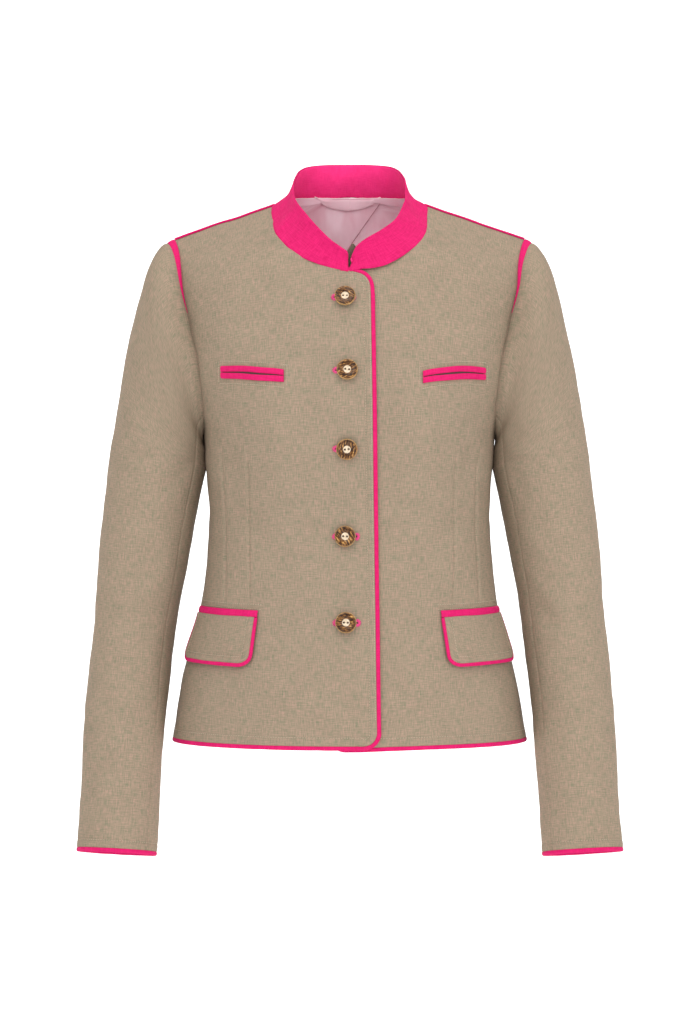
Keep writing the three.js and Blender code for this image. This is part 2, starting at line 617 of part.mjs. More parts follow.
// Front edge and hem piping: down the lap's edge, round its corner and along the hem to the side seam
function lapLine(side) {
  const main = side === "left" ? 1 : -1;
  const hem = BODY_ROWS[0].frontZ;
  const top = BODY_ROWS[NECK_ROW.front].frontZ;
  const place = (row, s, near) => {
    const { point, out } = onBody("front", row, s, depthOf(side, body("front", row, s)[0]));
    return sided(main, { point: add(point, [0, 0, -near * hemDrop(side, point[0])]), out });
  };
  const rowAtZ = (z) => solve((row) => through(BODY_ROWS, row, "frontZ"), z, 0, NECK_ROW.front);
  const corner = side === "left" ? [] : [1.6, 3.6, 7, 12, 18].map((below) => rowAtZ(top - below));
  const down = [...FRONT_ROWS].reverse().filter((row) => row < 10.4 && row >= 0.5);
  const low = [HEM_CORNER, 6.5, 2.6, 0.6].map((above) => rowAtZ(hem + above));
  const edge = [...corner, rowAtZ(top - 26), ...down, ...low].map((row) => {
    const z = through(BODY_ROWS, row, "frontZ");
    return place(row, shareAtX("front", row, -lapEdge(side, z)), smoothstep(hem + 24 - z, 0, 24));
  });
  const start = shareAtX("front", 0, lapEdge(side, hem));
  const along = [-start * 0.6, 0, ...FRONT_SHARES].map((s) => place(0, Math.min(s, 1 - SEAM_SHARE), 1));
  return [...edge, ...along];
}
function frontPiping(side) {
  const main = side === "left" ? 1 : -1;
  const line = lapLine(side).map(({ point, out }) => ({ point: add(point, out, -WALL / 2), out }));
  return strip(stationsAlong(line, main, PIPING.width / 2 + SEAM), PIPING.width, PIPING.thick);
}
function backHemPiping() {
  const half = [...BACK_SHARES.slice(1, -1), 1 - SEAM_SHARE];
  const line = [...half.map((s) => -s).reverse(), 0, ...half].map((s) => {
    const { point, out } = onBody("back", 0, s, -WALL / 2);
    return { point, out };
  });
  return strip(stationsAlong(line, -1, PIPING.width / 2 + SEAM), PIPING.width, PIPING.thick);
}

// Chest pockets: two welts lip to lip, each from the front's own points
function chestWelt(side, upper) {
  const main = side === "left" ? 1 : -1;
  const { tilt, tall, thick, swell, gap } = CHEST_WELT;
  const { inner, outer, centreZ, arch } = CHEST_WELT[side];
  const grid = [0, 0.5, 1].map((up) =>
    steps(0, 1, 8).map((share) => {
      const x = inner + (outer - inner) * share;
      const curve = tilt * share + arch * 4 * share * (1 - share);
      const open = (gap / 2) * Math.sin(Math.PI * share) + SEAM / 2 + 0.05;
      const z = centreZ - tilt / 2 + curve + (upper ? open + tall * up : -open - tall * (1 - up));
      return sided(main, onFront(x, z, SEAM + thick + swell * Math.sin(Math.PI * up)));
    }),
  );
  return wall(grid, thick);
}

// Flap pockets: a welt, the flap below it and the flap's piping, wrapped round to the side seam. share runs from the
// flap's inner edge to the side, and down is in millimetres below its top edge.
function flapPlace(share, down, height) {
  const z = FLAP.top + FLAP.slant * share - down;
  const row = solve((r) => through(BODY_ROWS, r, "sideZ"), z, 0, UNDERARM_ROW);
  const inner = shareAtX("front", row, FLAP.inner + FLAP.lean * down);
  return onBody("front", row, inner + (FLAP.outerShare - inner) * share, height);
}
const flapStand = (share, down) => FLAP.air + (FLAP.stand * (0.6 + 0.4 * share) * Math.max(down, 0)) / FLAP.tall;
// How far down the flap reaches at a share of its width, with its rounded corners
function flapDepth(share) {
  const fromEdge = Math.min(share, 1 - share) * FLAP.wide;
  const corner = Math.min(fromEdge / FLAP.corner, 1);
  return FLAP.tall - FLAP.corner * 0.8 * (1 - Math.sqrt(1 - (1 - corner) ** 2));
}
const FLAP_SHARES = [0, 0.025, 0.06, 0.1, 0.15, 0.27, 0.4, 0.52, 0.64, 0.76, 0.85, 0.91, 0.955, 1];
function flap(main) {
  const grid = steps(0, 1, 4).map((fall) =>
    FLAP_SHARES.map((share) => {
      const down = fall * flapDepth(share);
      return sided(main, flapPlace(share, down, flapStand(share, down) + FLAP.wall));
    }),
  );
  return wall(grid, FLAP.wall);
}
function flapPiping(main) {
  const station = (share, down) => sided(main, flapPlace(share, down, flapStand(share, down) + FLAP.wall / 2));
  const side = steps(0, 1, 5);
  const line = [
    ...side.map((f) => station(0, 1 + f * (flapDepth(0) - 1))),
    ...FLAP_SHARES.slice(1, -1).map((share) => station(share, flapDepth(share))),
    ...side.map((f) => station(1, flapDepth(1) - f * (flapDepth(1) - 1))),
  ];
  return strip(stationsAlong(line, main, FLAP.piping.width / 2 + SEAM), FLAP.piping.width, FLAP.piping.thick);
}
function flapWelt(main) {
  const grid = [0, 0.5, 1].map((up) =>
    steps(0, 1, 8).map((share) => {
      const down = -FLAP.weltAbove - FLAP.welt * up;
      const height = FLAP.air + FLAP.weltWall + FLAP.weltSwell * Math.sin(Math.PI * up);
      return sided(main, flapPlace(share, down, height));
    }),
  );
  return wall(grid, FLAP.weltWall);
}

// Buttons: a thick dished disc with two sewing holes, on a short thread shank
function solidOf(geometry) {
  const bare = geometry.clone();
  ["normal", "uv"].forEach((name) => bare.deleteAttribute(name));
  const merged = mergeVertices(bare, 1e-4);
  const mesh = new wasm.Mesh({
    numProp: 3,
    vertProperties: merged.attributes.position.array,
    triVerts: new Uint32Array(merged.index.array),
  });
  return new wasm.Manifold(mesh);
}
function geometryOf(solid) {
  const { vertProperties, triVerts } = solid.getMesh();
  const geometry = new THREE.BufferGeometry();
  geometry.setAttribute("position", new THREE.Float32BufferAttribute(vertProperties, 3));
  geometry.setIndex([...triVerts]);
  return geometry;
}
function buttonGeometry() {
  const { radius, thick, dish, dishDepth, hole, holeApart, shank, shankRadius, sides } = BUTTON;
  // The profile runs from the shank's foot on the cloth to the middle of the dish.
  const profile = [
    [0, 0],
    [shankRadius, 0],
    [shankRadius, shank],
    [radius - 2.4, shank],
    [radius, shank + 1.6],
    [radius, shank + thick - 1],
    [radius - 1.2, shank + thick],
    [dish, shank + thick],
    [dish - 1.4, shank + thick - dishDepth],
    [0, shank + thick - dishDepth],
  ].map(([r, h]) => new THREE.Vector2(r, h));
  let disc = solidOf(new THREE.LatheGeometry(profile, sides));
  [-1, 1].forEach((side) => {
    const drill = new THREE.CylinderGeometry(hole, hole, thick, 6);
    drill.translate((side * holeApart) / 2, shank + thick / 2 + 1, 0);
    disc = disc.subtract(solidOf(drill));
  });
  return geometryOf(disc);
}

// The hanger loop, sewn in at the back of the neck and sagging between its ends
function hangerLoop() {
  const line = steps(0, 1, 12).map((share) => {
    const x = LOOP.right + (LOOP.left - LOOP.right) * share;
    const hang = 4 * share * (1 - share);
    const z = LOOP.z - LOOP.sag * hang;
    const row = solve((r) => body("back", r, shareAtX("back", r, Math.abs(x)))[2], z, 8, NECK_ROW.back + 1);
    const away = WALL + LINING_AIR + LINING_WALL + LOOP.thick + LOOP.air + LOOP.lean * hang;
    const { point, out } = onBody("back", row, shareAtX("back", row, x), -away);
    return { point, out: out.map((v) => -v) };
  });
  return strip(stationsAlong(line, 1), LOOP.wide, LOOP.thick);
}

// A corner of the left front's facing, which shows in the gap between the collar's ends
function neckFacing() {
  const grid = FACING.rows.map(({ z, y, left, right }) =>
    [0, 0.5, 1].map((share) => ({ point: [right + (left - right) * share, y, z], out: [0, -1, 0] })),
  );
  return wall(grid, FACING.thick);
}

// Materials
const cloth = (color, roughness) => new THREE.MeshStandardMaterial({ color, roughness, metalness: 0 });
const linen = cloth(0xb3a085, 0.9);
const pink = cloth(0xf5257e, 0.85);
const lining = cloth(0xd3a9ae, 0.55);
const horn = cloth(0x7a4a22, 0.4);

const jacket = new THREE.Group();
function sew(name, geometry, material) {
  const piece = new THREE.Mesh(geometry, material.clone());
  piece.name = name;
  jacket.add(piece);
  return piece;
}

sew("front_right", frontPanel("right"), linen);
sew("front_left", frontPanel("left"), linen);
sew("collar", collar(), pink);
sew("back_lining", backLining(), lining);
sew("hem_piping_back", backHemPiping(), pink);
sew("hanger_loop", hangerLoop(), lining);
sew("neck_facing", neckFacing(), linen);
[
  ["left", 1],
  ["right", -1],
].forEach(([side, main]) => {
  sew(`back_${side}`, backPanel(main), linen);
  sew(`upper_sleeve_${side}`, sleevePart(main, UPPER_ANGLES), linen);
  sew(`under_sleeve_${side}`, sleevePart(main, UNDER_ANGLES), linen);
  sew(`armhole_insert_${side}`, armholeInsert(main), pink);
  sew(`shoulder_piping_${side}`, shoulderPiping(main), pink);
  sew(`front_piping_${side}`, frontPiping(side), pink);
  sew(`cuff_piping_${side}`, cuffPiping(main), pink);
  sew(`chest_welt_upper_${side}`, chestWelt(side, true), pink);
  sew(`chest_welt_lower_${side}`, chestWelt(side, false), pink);
  sew(`flap_${side}`, flap(main), linen);
  sew(`flap_piping_${side}`, flapPiping(main), pink);
  sew(`flap_welt_${side}`, flapWelt(main), pink);
});
BUTTON_PLACES.forEach(({ x, z }, k) => {
  const button = sew(`button_${k + 1}`, buttonGeometry(), horn);
  const { point, out } = onFront(x, z, BUTTON.air);
  button.position.set(...point);
  // The lathe's axis is +Y, and the button faces the way the cloth does.
  button.quaternion.setFromUnitVectors(new THREE.Vector3(0, 1, 0), new THREE.Vector3(...out));
});

export default jacket;
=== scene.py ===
import math

import bpy
import mathutils
import numpy as np
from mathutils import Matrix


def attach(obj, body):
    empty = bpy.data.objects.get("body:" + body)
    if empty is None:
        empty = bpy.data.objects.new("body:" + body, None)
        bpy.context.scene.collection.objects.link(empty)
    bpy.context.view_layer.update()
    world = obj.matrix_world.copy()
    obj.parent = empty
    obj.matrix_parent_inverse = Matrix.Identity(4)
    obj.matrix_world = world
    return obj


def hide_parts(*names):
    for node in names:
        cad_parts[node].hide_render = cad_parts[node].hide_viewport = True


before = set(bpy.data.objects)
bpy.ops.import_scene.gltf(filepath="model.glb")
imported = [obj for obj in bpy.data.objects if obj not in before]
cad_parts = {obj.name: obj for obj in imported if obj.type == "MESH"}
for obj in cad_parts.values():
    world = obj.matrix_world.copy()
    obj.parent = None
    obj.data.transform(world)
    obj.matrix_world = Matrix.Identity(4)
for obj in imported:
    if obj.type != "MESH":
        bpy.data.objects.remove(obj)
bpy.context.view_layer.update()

# Sizes
MM = 0.001
HEM_ROW = 62.0  # the body's lowest row is this tall
TOP_ROW = 24.0  # and its highest one, below the shoulder seam
FACING = {"wide": 62.0, "top": -40.0}  # past it, the lining is inside a front
HEM_STITCH = 8.0
EDGE_STITCH = 6.5
EYE = (0.5, -2625.0, -311.0)  # where the camera is
FRONT_AWAY = 2500.0  # how far it is from the front edge
MAIN = {"left": 1, "right": -1}  # the way of each side in x
WALL = 2.0
SLEEVE_WALL = 1.8
SEAM = 0.3
LAP_RIGHT = {"top": 20.3, "hem": 26.7}
LAP_LEFT = 17.0
LAP_CORNER = 20.0
LAP_SQUARE = 3  # how square the corner of the lap is: 2 would make it an ellipse
LAP_TOP = -75.0  # where the neck edge turns into the lap
HEM_CORNER = 13.0
UNDERLAP = 3.2  # how deep the left front lies under the right one
UNDERLAP_DROP = 2.0
PIPING = {"width": 4.4, "thick": 2.6}
LINING = {"air": 1.4, "wall": 0.8}
COLLAR = {"wall": 2.4, "hollow": 2.6, "corner": {"left": 13.0, "right": 3.0}, "seat": 0.4}
INSERT = {"width": 8.0, "reach": 0.43}
BUST = {"x": 80.0, "z": -238.0, "height": 9.0, "spread": 42.0, "above": 72.0, "below": 50.0}
CHEST_WELT = {
    "left": {"inner": 71.5, "outer": 134.0, "z": -178.3, "arch": 2.3},
    "right": {"inner": 64.0, "outer": 126.5, "z": -177.0, "arch": 0.5},
    "tilt": 5.4,
    "tall": 5.5,
    "thick": 1.5,
    "gap": 1.0,
}
FLAP = {
    "inner": 90.5,
    "lean": 0.12,
    "outer_share": 0.87,
    "top": -416.5,
    "slant": 2.2,
    "wide": 88.0,
    "tall": 45.0,
    "corner": 10.0,
    "stand": 3.0,
    "wall": 2.0,
    "piping": 3.8,
    "welt": 6.2,
    "welt_wall": 1.7,
    "air": 1.0,
    "stitch": 6.0,
}
BUTTON = {"radius": 10.4, "thick": 4.0, "core": 3.9, "hole": 1.05, "hole_apart": 3.7, "shank": 1.4}
BUTTON_PLACES = [(-4.2, -101.5), (-2.2, -174.5), (-2.6, -251.0), (-4.2, -336.5), (-3.4, -420.5)]
# The ends of each buttonhole, at the button's own height
BUTTONHOLES = [(-18.6, 6.6), (-17.0, 8.2), (-17.0, 8.2), (-17.4, 10.5), (-16.8, 11.4)]
LOOP = {"right": -37.0, "left": 33.0, "z": 17.5, "sag": 5.9, "thin": 1.0, "wide": 11.2, "thick": 0.8}
STITCH = {"pitch": 2.7, "long": 2.0, "radius": 0.24}

# The body's rows from the hem (0) to the shoulder seam (15), as in the solids
BODY = {
    "front_y": [-122, -122, -115, -106, -111, -117, -118, -115, -109, -101, -92, -82, -70, -51, -27, 0],
    "front_z": [-540, -478, -408, -330, -280, -236, -208, -180, -152, -125, -98, -72, -46, -20, 4, 26],
    "back_y": [116, 114, 103, 89, 92, 100, 106, 110, 111, 108.5, 103, 92, 77, 59, 31, 0],
    "back_z": [-540, -478, -408, -330, -280, -236, -202, -166, -130, -94, -58, -20, 18, 32, 31, 26],
    "side_x": [180, 169, 151.5, 143.4, 144.5, 148, 152, 157, 161.5, 165.5, 169, 172, 174.5, 176.5, 178, 178.5],
    "side_z": [-540, -478, -408, -330, -280, -236, -214, -193, -172, -151, -130, -110, -90, -71, -53, -34.5],
    "front_side_y": [0, 0, 0, 0, 0, 0, 0, 0, 0, 0, -2, -7, -13, -16, -11, 2],
    "back_side_y": [0, 0, 0, 0, 0, 0, 0, 0, 0, 0, 3, 9, 17, 21, 15, 2],
    "full": [0.56, 0.56, 0.57, 0.57, 0.58, 0.6, 0.62, 0.64, 0.65, 0.65, 0.65, 0.65, 0.64, 0.6, 0.52, 0.5],
    "round": [1, 1, 1, 1, 1, 1, 1, 1, 1, 1, 1, 1, 0.94, 0.72, 0.4, 0],
}
TOP = 15
UNDERARM = 5
NECK_ROW = {"front": 11, "back": 12}
NECK_REACH = {"front": [0, 33, 51, 62.5, 70.5, 75, 77.5, 78.6, 79], "back": [0, 40, 56, 65.5, 72, 76.5, 79]}

# The armhole every 18 degrees from the underarm, up the front and down the back
ARM_ROW = [5, 5.25, 5.87, 6.8, 8.1, 9.45, 10.8, 12.15, 13.5, 14.6]
ARM_ROW += [15, 14.6, 13.5, 12.15, 10.8, 9.45, 8.1, 6.8, 5.87, 5.25]
ARM_SHARE = [1, 0.896, 0.825, 0.775, 0.745, 0.765, 0.8, 0.85, 0.925, 0.98]
ARM_SHARE += [1, 0.98, 0.91, 0.82, 0.775, 0.755, 0.745, 0.765, 0.81, 0.89]

# The collar's free edge from the centre front to the centre back
COLLAR_TOP = {
    "x": [0.8, 18, 33.5, 48, 56, 58, 56, 49, 32, 0],
    "y": [-80, -77, -67, -50, -27, -6, 14, 35, 56, 66],
    "right": [-56.5, -45, -29, -11, 3, 15.5, 30.5, 41, 46.8, 48.8],
    "left": [-55, -42.5, -32.2, -19, -1.5, 12.5, 29.5, 41, 46.8, 48.8],
}
for name, column in COLLAR_TOP.items():
    # One more past the centre back, as a mirror has it
    column.append(-column[-2] if name == "x" else column[-2])

# The left sleeve's sections from the armhole (0) to the cuff (12)
SLEEVE = {
    "under_x": [148, 148.5, 148.7, 148.8, 148.8, 148.8, 148.9, 148.6, 162, 174.2, 182.6, 188.6, 193.6],
    "under_z": [-236, -240, -244, -248, -253, -259, -266, -276, -347, -418.5, -490, -564, -653],
    "crown_x": [178.5, 191.5, 202.5, 211, 219.5, 228.7, 237.2, 244.4, 252.3, 258.6, 264.6, 269.4, 273.6],
    "crown_z": [-34.5, -40, -58, -85, -120, -164, -214, -262, -334, -409.5, -484, -560.5, -648.5],
    "front": [-50, -55, -57.5, -58.5, -58.5, -57.5, -55.5, -53, -50, -50.5, -56.5, -65.4, -76.9],
    "back": [49.5, 53, 55, 56, 56, 56, 55.5, 54.5, 50, 42.5, 30.5, 15.4, -1.1],
    "tilt": [0, 0, 0, 0, 0, 0, 0, 0.5, 1.5, 4, 6, 6.6, 6.3],
}
CUFF = 12
CUFF_SECTION = 89.0  # how long the sleeve's last section is
CUFF_STITCH = 7.2
SETTLE = 3
SLEEVE_SEAMS = {"front": 36.0, "back": 306.0}

# Dart seams, as x at a height z: the inner and outer one of each front
DARTS = {
    "right": {
        "inner": [(-399, 98), (-346, 99), (-291, 99.6), (-257, 101), (-236, 102)],
        "outer": [(-400, 123.6), (-325, 124), (-284, 126), (-249, 127.5), (-236, 129)],
    },
    "left": {
        "inner": [(-400, 102), (-359, 104), (-311, 103.5), (-276, 104), (-250, 106.5)],
        "outer": [(-400, 129.3), (-360, 128), (-332, 126), (-268, 126.5), (-241, 134)],
    },
}
DART_GROOVE = {"low": -404.0, "high": -243.0, "depth": 1.05, "width": 0.85}

# Soft creases on the left half, as the ends of each in x and z, its width and its height: below 0 is a
# trough. The right half has them mirrored and a little uneven.
FRONT_FOLDS = [
    ((146, -228), (104, -292), 9, -1.3),
    ((150, -250), (118, -318), 7, 0.9),
    ((138, -215), (92, -238), 10, -0.7),
    ((142, -318), (86, -338), 8, -1.0),
    ((143, -346), (104, -352), 6, 0.8),
    ((60, -318), (22, -330), 9, -0.6),
    ((70, -190), (128, -187), 3.4, -0.7),
    ((150, -120), (118, -62), 12, -1.0),
    ((92, -64), (150, -84), 12, 0.7),
    ((62, -470), (50, -536), 16, 1.0),
    ((98, -486), (104, -538), 14, -1.1),
    ((140, -480), (150, -538), 12, 0.9),
]
BACK_FOLDS = [
    ((146, -228), (96, -284), 10, -1.4),
    ((150, -250), (112, -306), 7, 0.9),
    ((142, -322), (70, -340), 9, -1.2),
    ((140, -348), (60, -366), 8, 0.9),
    ((132, -120), (98, -40), 12, -1.0),
    ((60, -468), (46, -538), 16, 1.0),
    ((104, -480), (112, -538), 14, -1.1),
    ((4, -318), (44, -334), 9, -0.8),
]
BACK_DARTS = {"x": 78.0, "low": -455.0, "high": -215.0}
# Soft creases on the left sleeve, as the ends of each in section and degrees, its width in mm and its height
SLEEVE_FOLDS = [
    ((4.2, 52), (6.2, 96), 9, -1.3),
    ((5.4, 44), (7.2, 104), 8, 1.0),
    ((6.6, 40), (7.6, 84), 7, -1.1),
    ((7.6, 52), (8.6, 128), 10, -1.3),
    ((8.3, 46), (9.2, 120), 8, 1.0),
    ((9.0, 50), (9.6, 110), 9, -1.2),
    ((5.0, 306), (6.6, 262), 10, -1.3),
    ((6.2, 312), (7.6, 250), 8, 0.9),
    ((8.0, 300), (8.8, 230), 9, -1.2),
    ((8.9, 296), (9.7, 236), 9, 0.9),
    ((10.2, 70), (11.3, 150), 12, -0.8),
    ((10.4, 300), (11.5, 220), 12, -0.8),
]


def unit(a):
    return a / np.maximum(np.linalg.norm(a, axis=-1, keepdims=True), 1e-9)


def gauss(x):
    return np.exp(-x * x)


def smooth(x, low, high):
    t = np.clip((x - low) / (high - low), 0, 1)
    return t * t * (3 - 2 * t)


def hermite(f, p0, m0, p1, m1):
    f2 = f * f
    f3 = f2 * f
    return (2 * f3 - 3 * f2 + 1) * p0 + (f3 - 2 * f2 + f) * m0 + (3 * f2 - 2 * f3) * p1 + (f3 - f2) * m1


def through(column, t):
    """A smooth curve through a column's values, 1 further on at each."""
    c = np.asarray(column, float)
    slope = np.gradient(c)
    k = np.clip(np.floor(t).astype(int), 0, len(c) - 2)
    return hermite(t - k, c[k], slope[k], c[k + 1], slope[k + 1])


def through_loop(column, t):
    c = np.asarray(column, float)
    n = len(c)
    k = np.floor(t).astype(int)
    p, q, r, s = c[(k - 1) % n], c[k % n], c[(k + 1) % n], c[(k + 2) % n]
    return hermite(t - k, q, (r - p) / 2, r, (s - q) / 2)


def solve(goal, target, low, high, rounds=34):
    target = np.asarray(target, float)
    low = np.full(target.shape, float(low))
    high = np.full(target.shape, float(high))
    for _ in range(rounds):
        middle = (low + high) / 2
        less = goal(middle) < target
        low = np.where(less, middle, low)
        high = np.where(less, high, middle)
    return (low + high) / 2


def wobble(p, size, seed, waves=9):
    """Smooth seeded noise about 1 high over points, with bumps about size apart."""
    rng = np.random.default_rng(seed)
    total = np.zeros(p.shape[:-1])
    for _ in range(waves):
        direction = unit(rng.normal(size=3))
        pace = 2 * math.pi / (size * rng.uniform(0.75, 1.6))
        total = total + np.sin(p @ direction * pace + rng.uniform(0, 2 * math.pi))
    return total / math.sqrt(waves / 2)


# The body's surface
def body(part, row, s):
    row, s = np.broadcast_arrays(np.asarray(row, float), np.asarray(s, float))
    at = {name: through(BODY[name], row) for name in BODY}
    from_y, from_z = at[f"{part}_y"], at[f"{part}_z"]
    run_x, run_y = at["side_x"], at[f"{part}_side_y"] - from_y
    straight = (1 - at["round"]) / 3
    pull = at["full"] * at["round"] + straight
    t = np.abs(s)
    u = 1 - t
    b1, b2, b3 = 3 * u * u * t, 3 * u * t * t, t**3
    x = b1 * pull * run_x + b2 * (run_x - straight * run_x) + b3 * run_x
    z = from_z + (at["side_z"] - from_z) * t
    y = from_y + b1 * straight * run_y + b2 * (run_y - pull * run_y) + b3 * run_y
    if part == "front":
        tall = np.where(z > BUST["z"], BUST["above"], BUST["below"])
        y = y - BUST["height"] * gauss((x - BUST["x"]) / BUST["spread"]) * gauss((z - BUST["z"]) / tall)
    return np.stack([np.where(s < 0, -x, x), y, z], -1)


def slant(part, row, s):
    d = 0.01
    across = body(part, row, s + d) - body(part, row, s - d)
    up = body(part, row + d, s) - body(part, row - d, s)
    n = unit(np.cross(across, up))
    return n if part == "front" else -n


def body_out(part, row, s):
    row, s = np.broadcast_arrays(np.asarray(row, float), np.asarray(s, float))
    below = TOP - 0.1
    seam = unit(slant("front", np.full(row.shape, below), s) + slant("back", np.full(row.shape, below), s))
    own = slant(part, np.minimum(row, below), s)
    near = np.clip((row - TOP + 0.3) / 0.3, 0, 1)[..., None]
    return unit(own * (1 - near) + seam * near)


def share_at_x(part, row, x):
    row, x = np.broadcast_arrays(np.asarray(row, float), np.asarray(x, float))
    return np.sign(x) * solve(lambda s: body(part, row, s)[..., 0], np.abs(x), 0, 1)


def neck_share(part, row):
    above = np.maximum(row - NECK_ROW[part], 0)
    reach = np.maximum(through(NECK_REACH[part], above * 2), 0.01)
    return np.where(above <= 0, 0, share_at_x(part, row, reach))


RING = np.linspace(0, 180, 1441)


def edge_of(angle):
    row = np.minimum(through_loop(ARM_ROW, angle / 18), TOP)
    return row, np.minimum(through_loop(ARM_SHARE, angle / 18), 1)


def armhole_share(part, row):
    rows, shares = edge_of(RING if part == "front" else 360 - RING)
    cut = np.interp(row, np.maximum.accumulate(rows), shares)
    return np.where((row <= UNDERARM) | (row >= TOP), 1, cut)


def armhole(angle):
    angle = np.asarray(angle, float) % 360
    row, s = edge_of(angle)
    return np.where((angle <= 180)[..., None], body("front", row, s), body("back", row, s))


def along_fold(x, z, start, end, width, height):
    """A soft crease between two points, deepest halfway along and a little bent."""
    a, b = np.array(start, float), np.array(end, float)
    run = b - a
    long = math.hypot(*run)
    t = ((x - a[0]) * run[0] + (z - a[1]) * run[1]) / long**2
    off = ((x - a[0]) * run[1] - (z - a[1]) * run[0]) / long - 0.08 * long * np.sin(math.pi * np.clip(t, 0, 1))
    reach = smooth(t, -0.25, 0.35) * (1 - smooth(t, 0.65, 1.3))
    return height * gauss(off / width) * reach


def folds(part, p):
    """How far the cloth's soft creases stand out at points of the body."""
    x, z = p[..., 0], p[..., 2]
    total = 0.42 * wobble(p * [1, 1, 0.7], 74, 11) + 0.16 * wobble(p, 30, 12)
    own = FRONT_FOLDS if part == "front" else BACK_FOLDS
    for k, (start, end, width, height) in enumerate(own):
        total = total + along_fold(x, z, start, end, width, height)
        shift = 5 * math.sin(2.3 * k + 1)
        uneven = 1 + 0.25 * math.sin(1.7 * k)
        mirrored = along_fold(-x, z, (start[0], start[1] + shift), (end[0], end[1] - shift), width, height)
        total = total + mirrored * uneven
    return total


def on_back(row, s):
    """Points of the uncreased backs and the way they face, where s below 0 is on the wearer's right."""
    out = body_out("back", row, np.abs(s))
    return body("back", row, s), np.where((s < 0)[..., None], out * [-1, 1, 1], out)


def back_row(x, z, low):
    """The backs' row at places in x and z."""

    def height(row):
        return body("back", row, share_at_x("back", row, np.abs(x)))[..., 2]

    return solve(height, z, low, NECK_ROW["back"] + 1)


def hem_relief(above):
    """The hem's stitched channel and the roll below it, at lengths above its edge."""
    return groove(above - HEM_STITCH, 0.9, 0.35) + 0.25 * gauss((above - 4) / 3)


def place_on(part, x, z):
    x, z = np.broadcast_arrays(np.asarray(x, float), np.asarray(z, float))
    row = np.full(x.shape, 8.0)
    for _ in range(14):
        s = share_at_x(part, row, np.where(x == 0, 1e-6, x))
        here = body(part, row, s)[..., 2]
        rise = (body(part, row + 0.02, s)[..., 2] - here) / 0.02
        row = np.clip(row + (z - here) / rise, 0, TOP)
    return row, s


def on_front(side, x, z, height=0.0):
    """Points of one front, where x is towards its own side."""
    row, s = place_on("front", x, z)
    return turned(MAIN[side], skin_of(side, row, s, height))


def turned(main, placed):
    return tuple(a * [main, 1, 1] for a in placed)


def skin_of(side, row, s, height=0.0):
    """A front's points before the right one is mirrored. The left one lies deeper where it laps under."""
    main = MAIN[side]
    p = body("front", row, s)
    out = body_out("front", row, s)
    deep = UNDERLAP * (1 - smooth(p[..., 0], 34, 62)) if side == "left" else 0
    world = p * [main, 1, 1]
    return p + out * (np.asarray(height) - deep + folds("front", world))[..., None], out


# Meshes
def new_object(name, points, faces):
    """An object with a mesh of its own, in the scene."""
    mesh = bpy.data.meshes.new(name)
    mesh.from_pydata(points, [], faces)
    mesh.update()
    item = bpy.data.objects.new(name, mesh)
    bpy.context.collection.objects.link(item)
    return item


def finish_mesh(name, points, faces, uv, materials, material_of, node, hard=55):
    """A piece from points in mm and faces, riding on the frame's body and standing for a node."""
    piece = new_object(name, (np.asarray(points) * MM).tolist(), faces)
    mesh = piece.data
    layer = mesh.uv_layers.new(name="cloth")
    index = np.empty(len(mesh.loops), int)
    mesh.loops.foreach_get("vertex_index", index)
    layer.data.foreach_set("uv", (np.asarray(uv)[index] * MM).ravel())
    for material in materials:
        mesh.materials.append(material)
    if material_of is not None:
        mesh.polygons.foreach_set("material_index", np.asarray(material_of, int))
    mesh.polygons.foreach_set("use_smooth", np.ones(len(mesh.polygons), bool))
    mesh.update()
    mesh.set_sharp_from_angle(angle=math.radians(hard))
    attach(piece, "root")
    if node:
        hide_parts(node)
    return piece


def cloth_uv(points):
    """Lengths along and across a grid of points, from its middle column and row."""
    n, m = points.shape[:2]
    across = np.linalg.norm(np.diff(points, axis=1), axis=-1)
    along = np.linalg.norm(np.diff(points, axis=0), axis=-1)
    u = np.concatenate([np.zeros((n, 1)), np.cumsum(across, 1)], 1)
    v = np.concatenate([np.zeros((1, m)), np.cumsum(along, 0)], 0)
    u = u - u[:, m // 2 : m // 2 + 1]
    v = v[:, m // 2 : m // 2 + 1] + 0.0 * u
    return np.stack([u, v], -1)


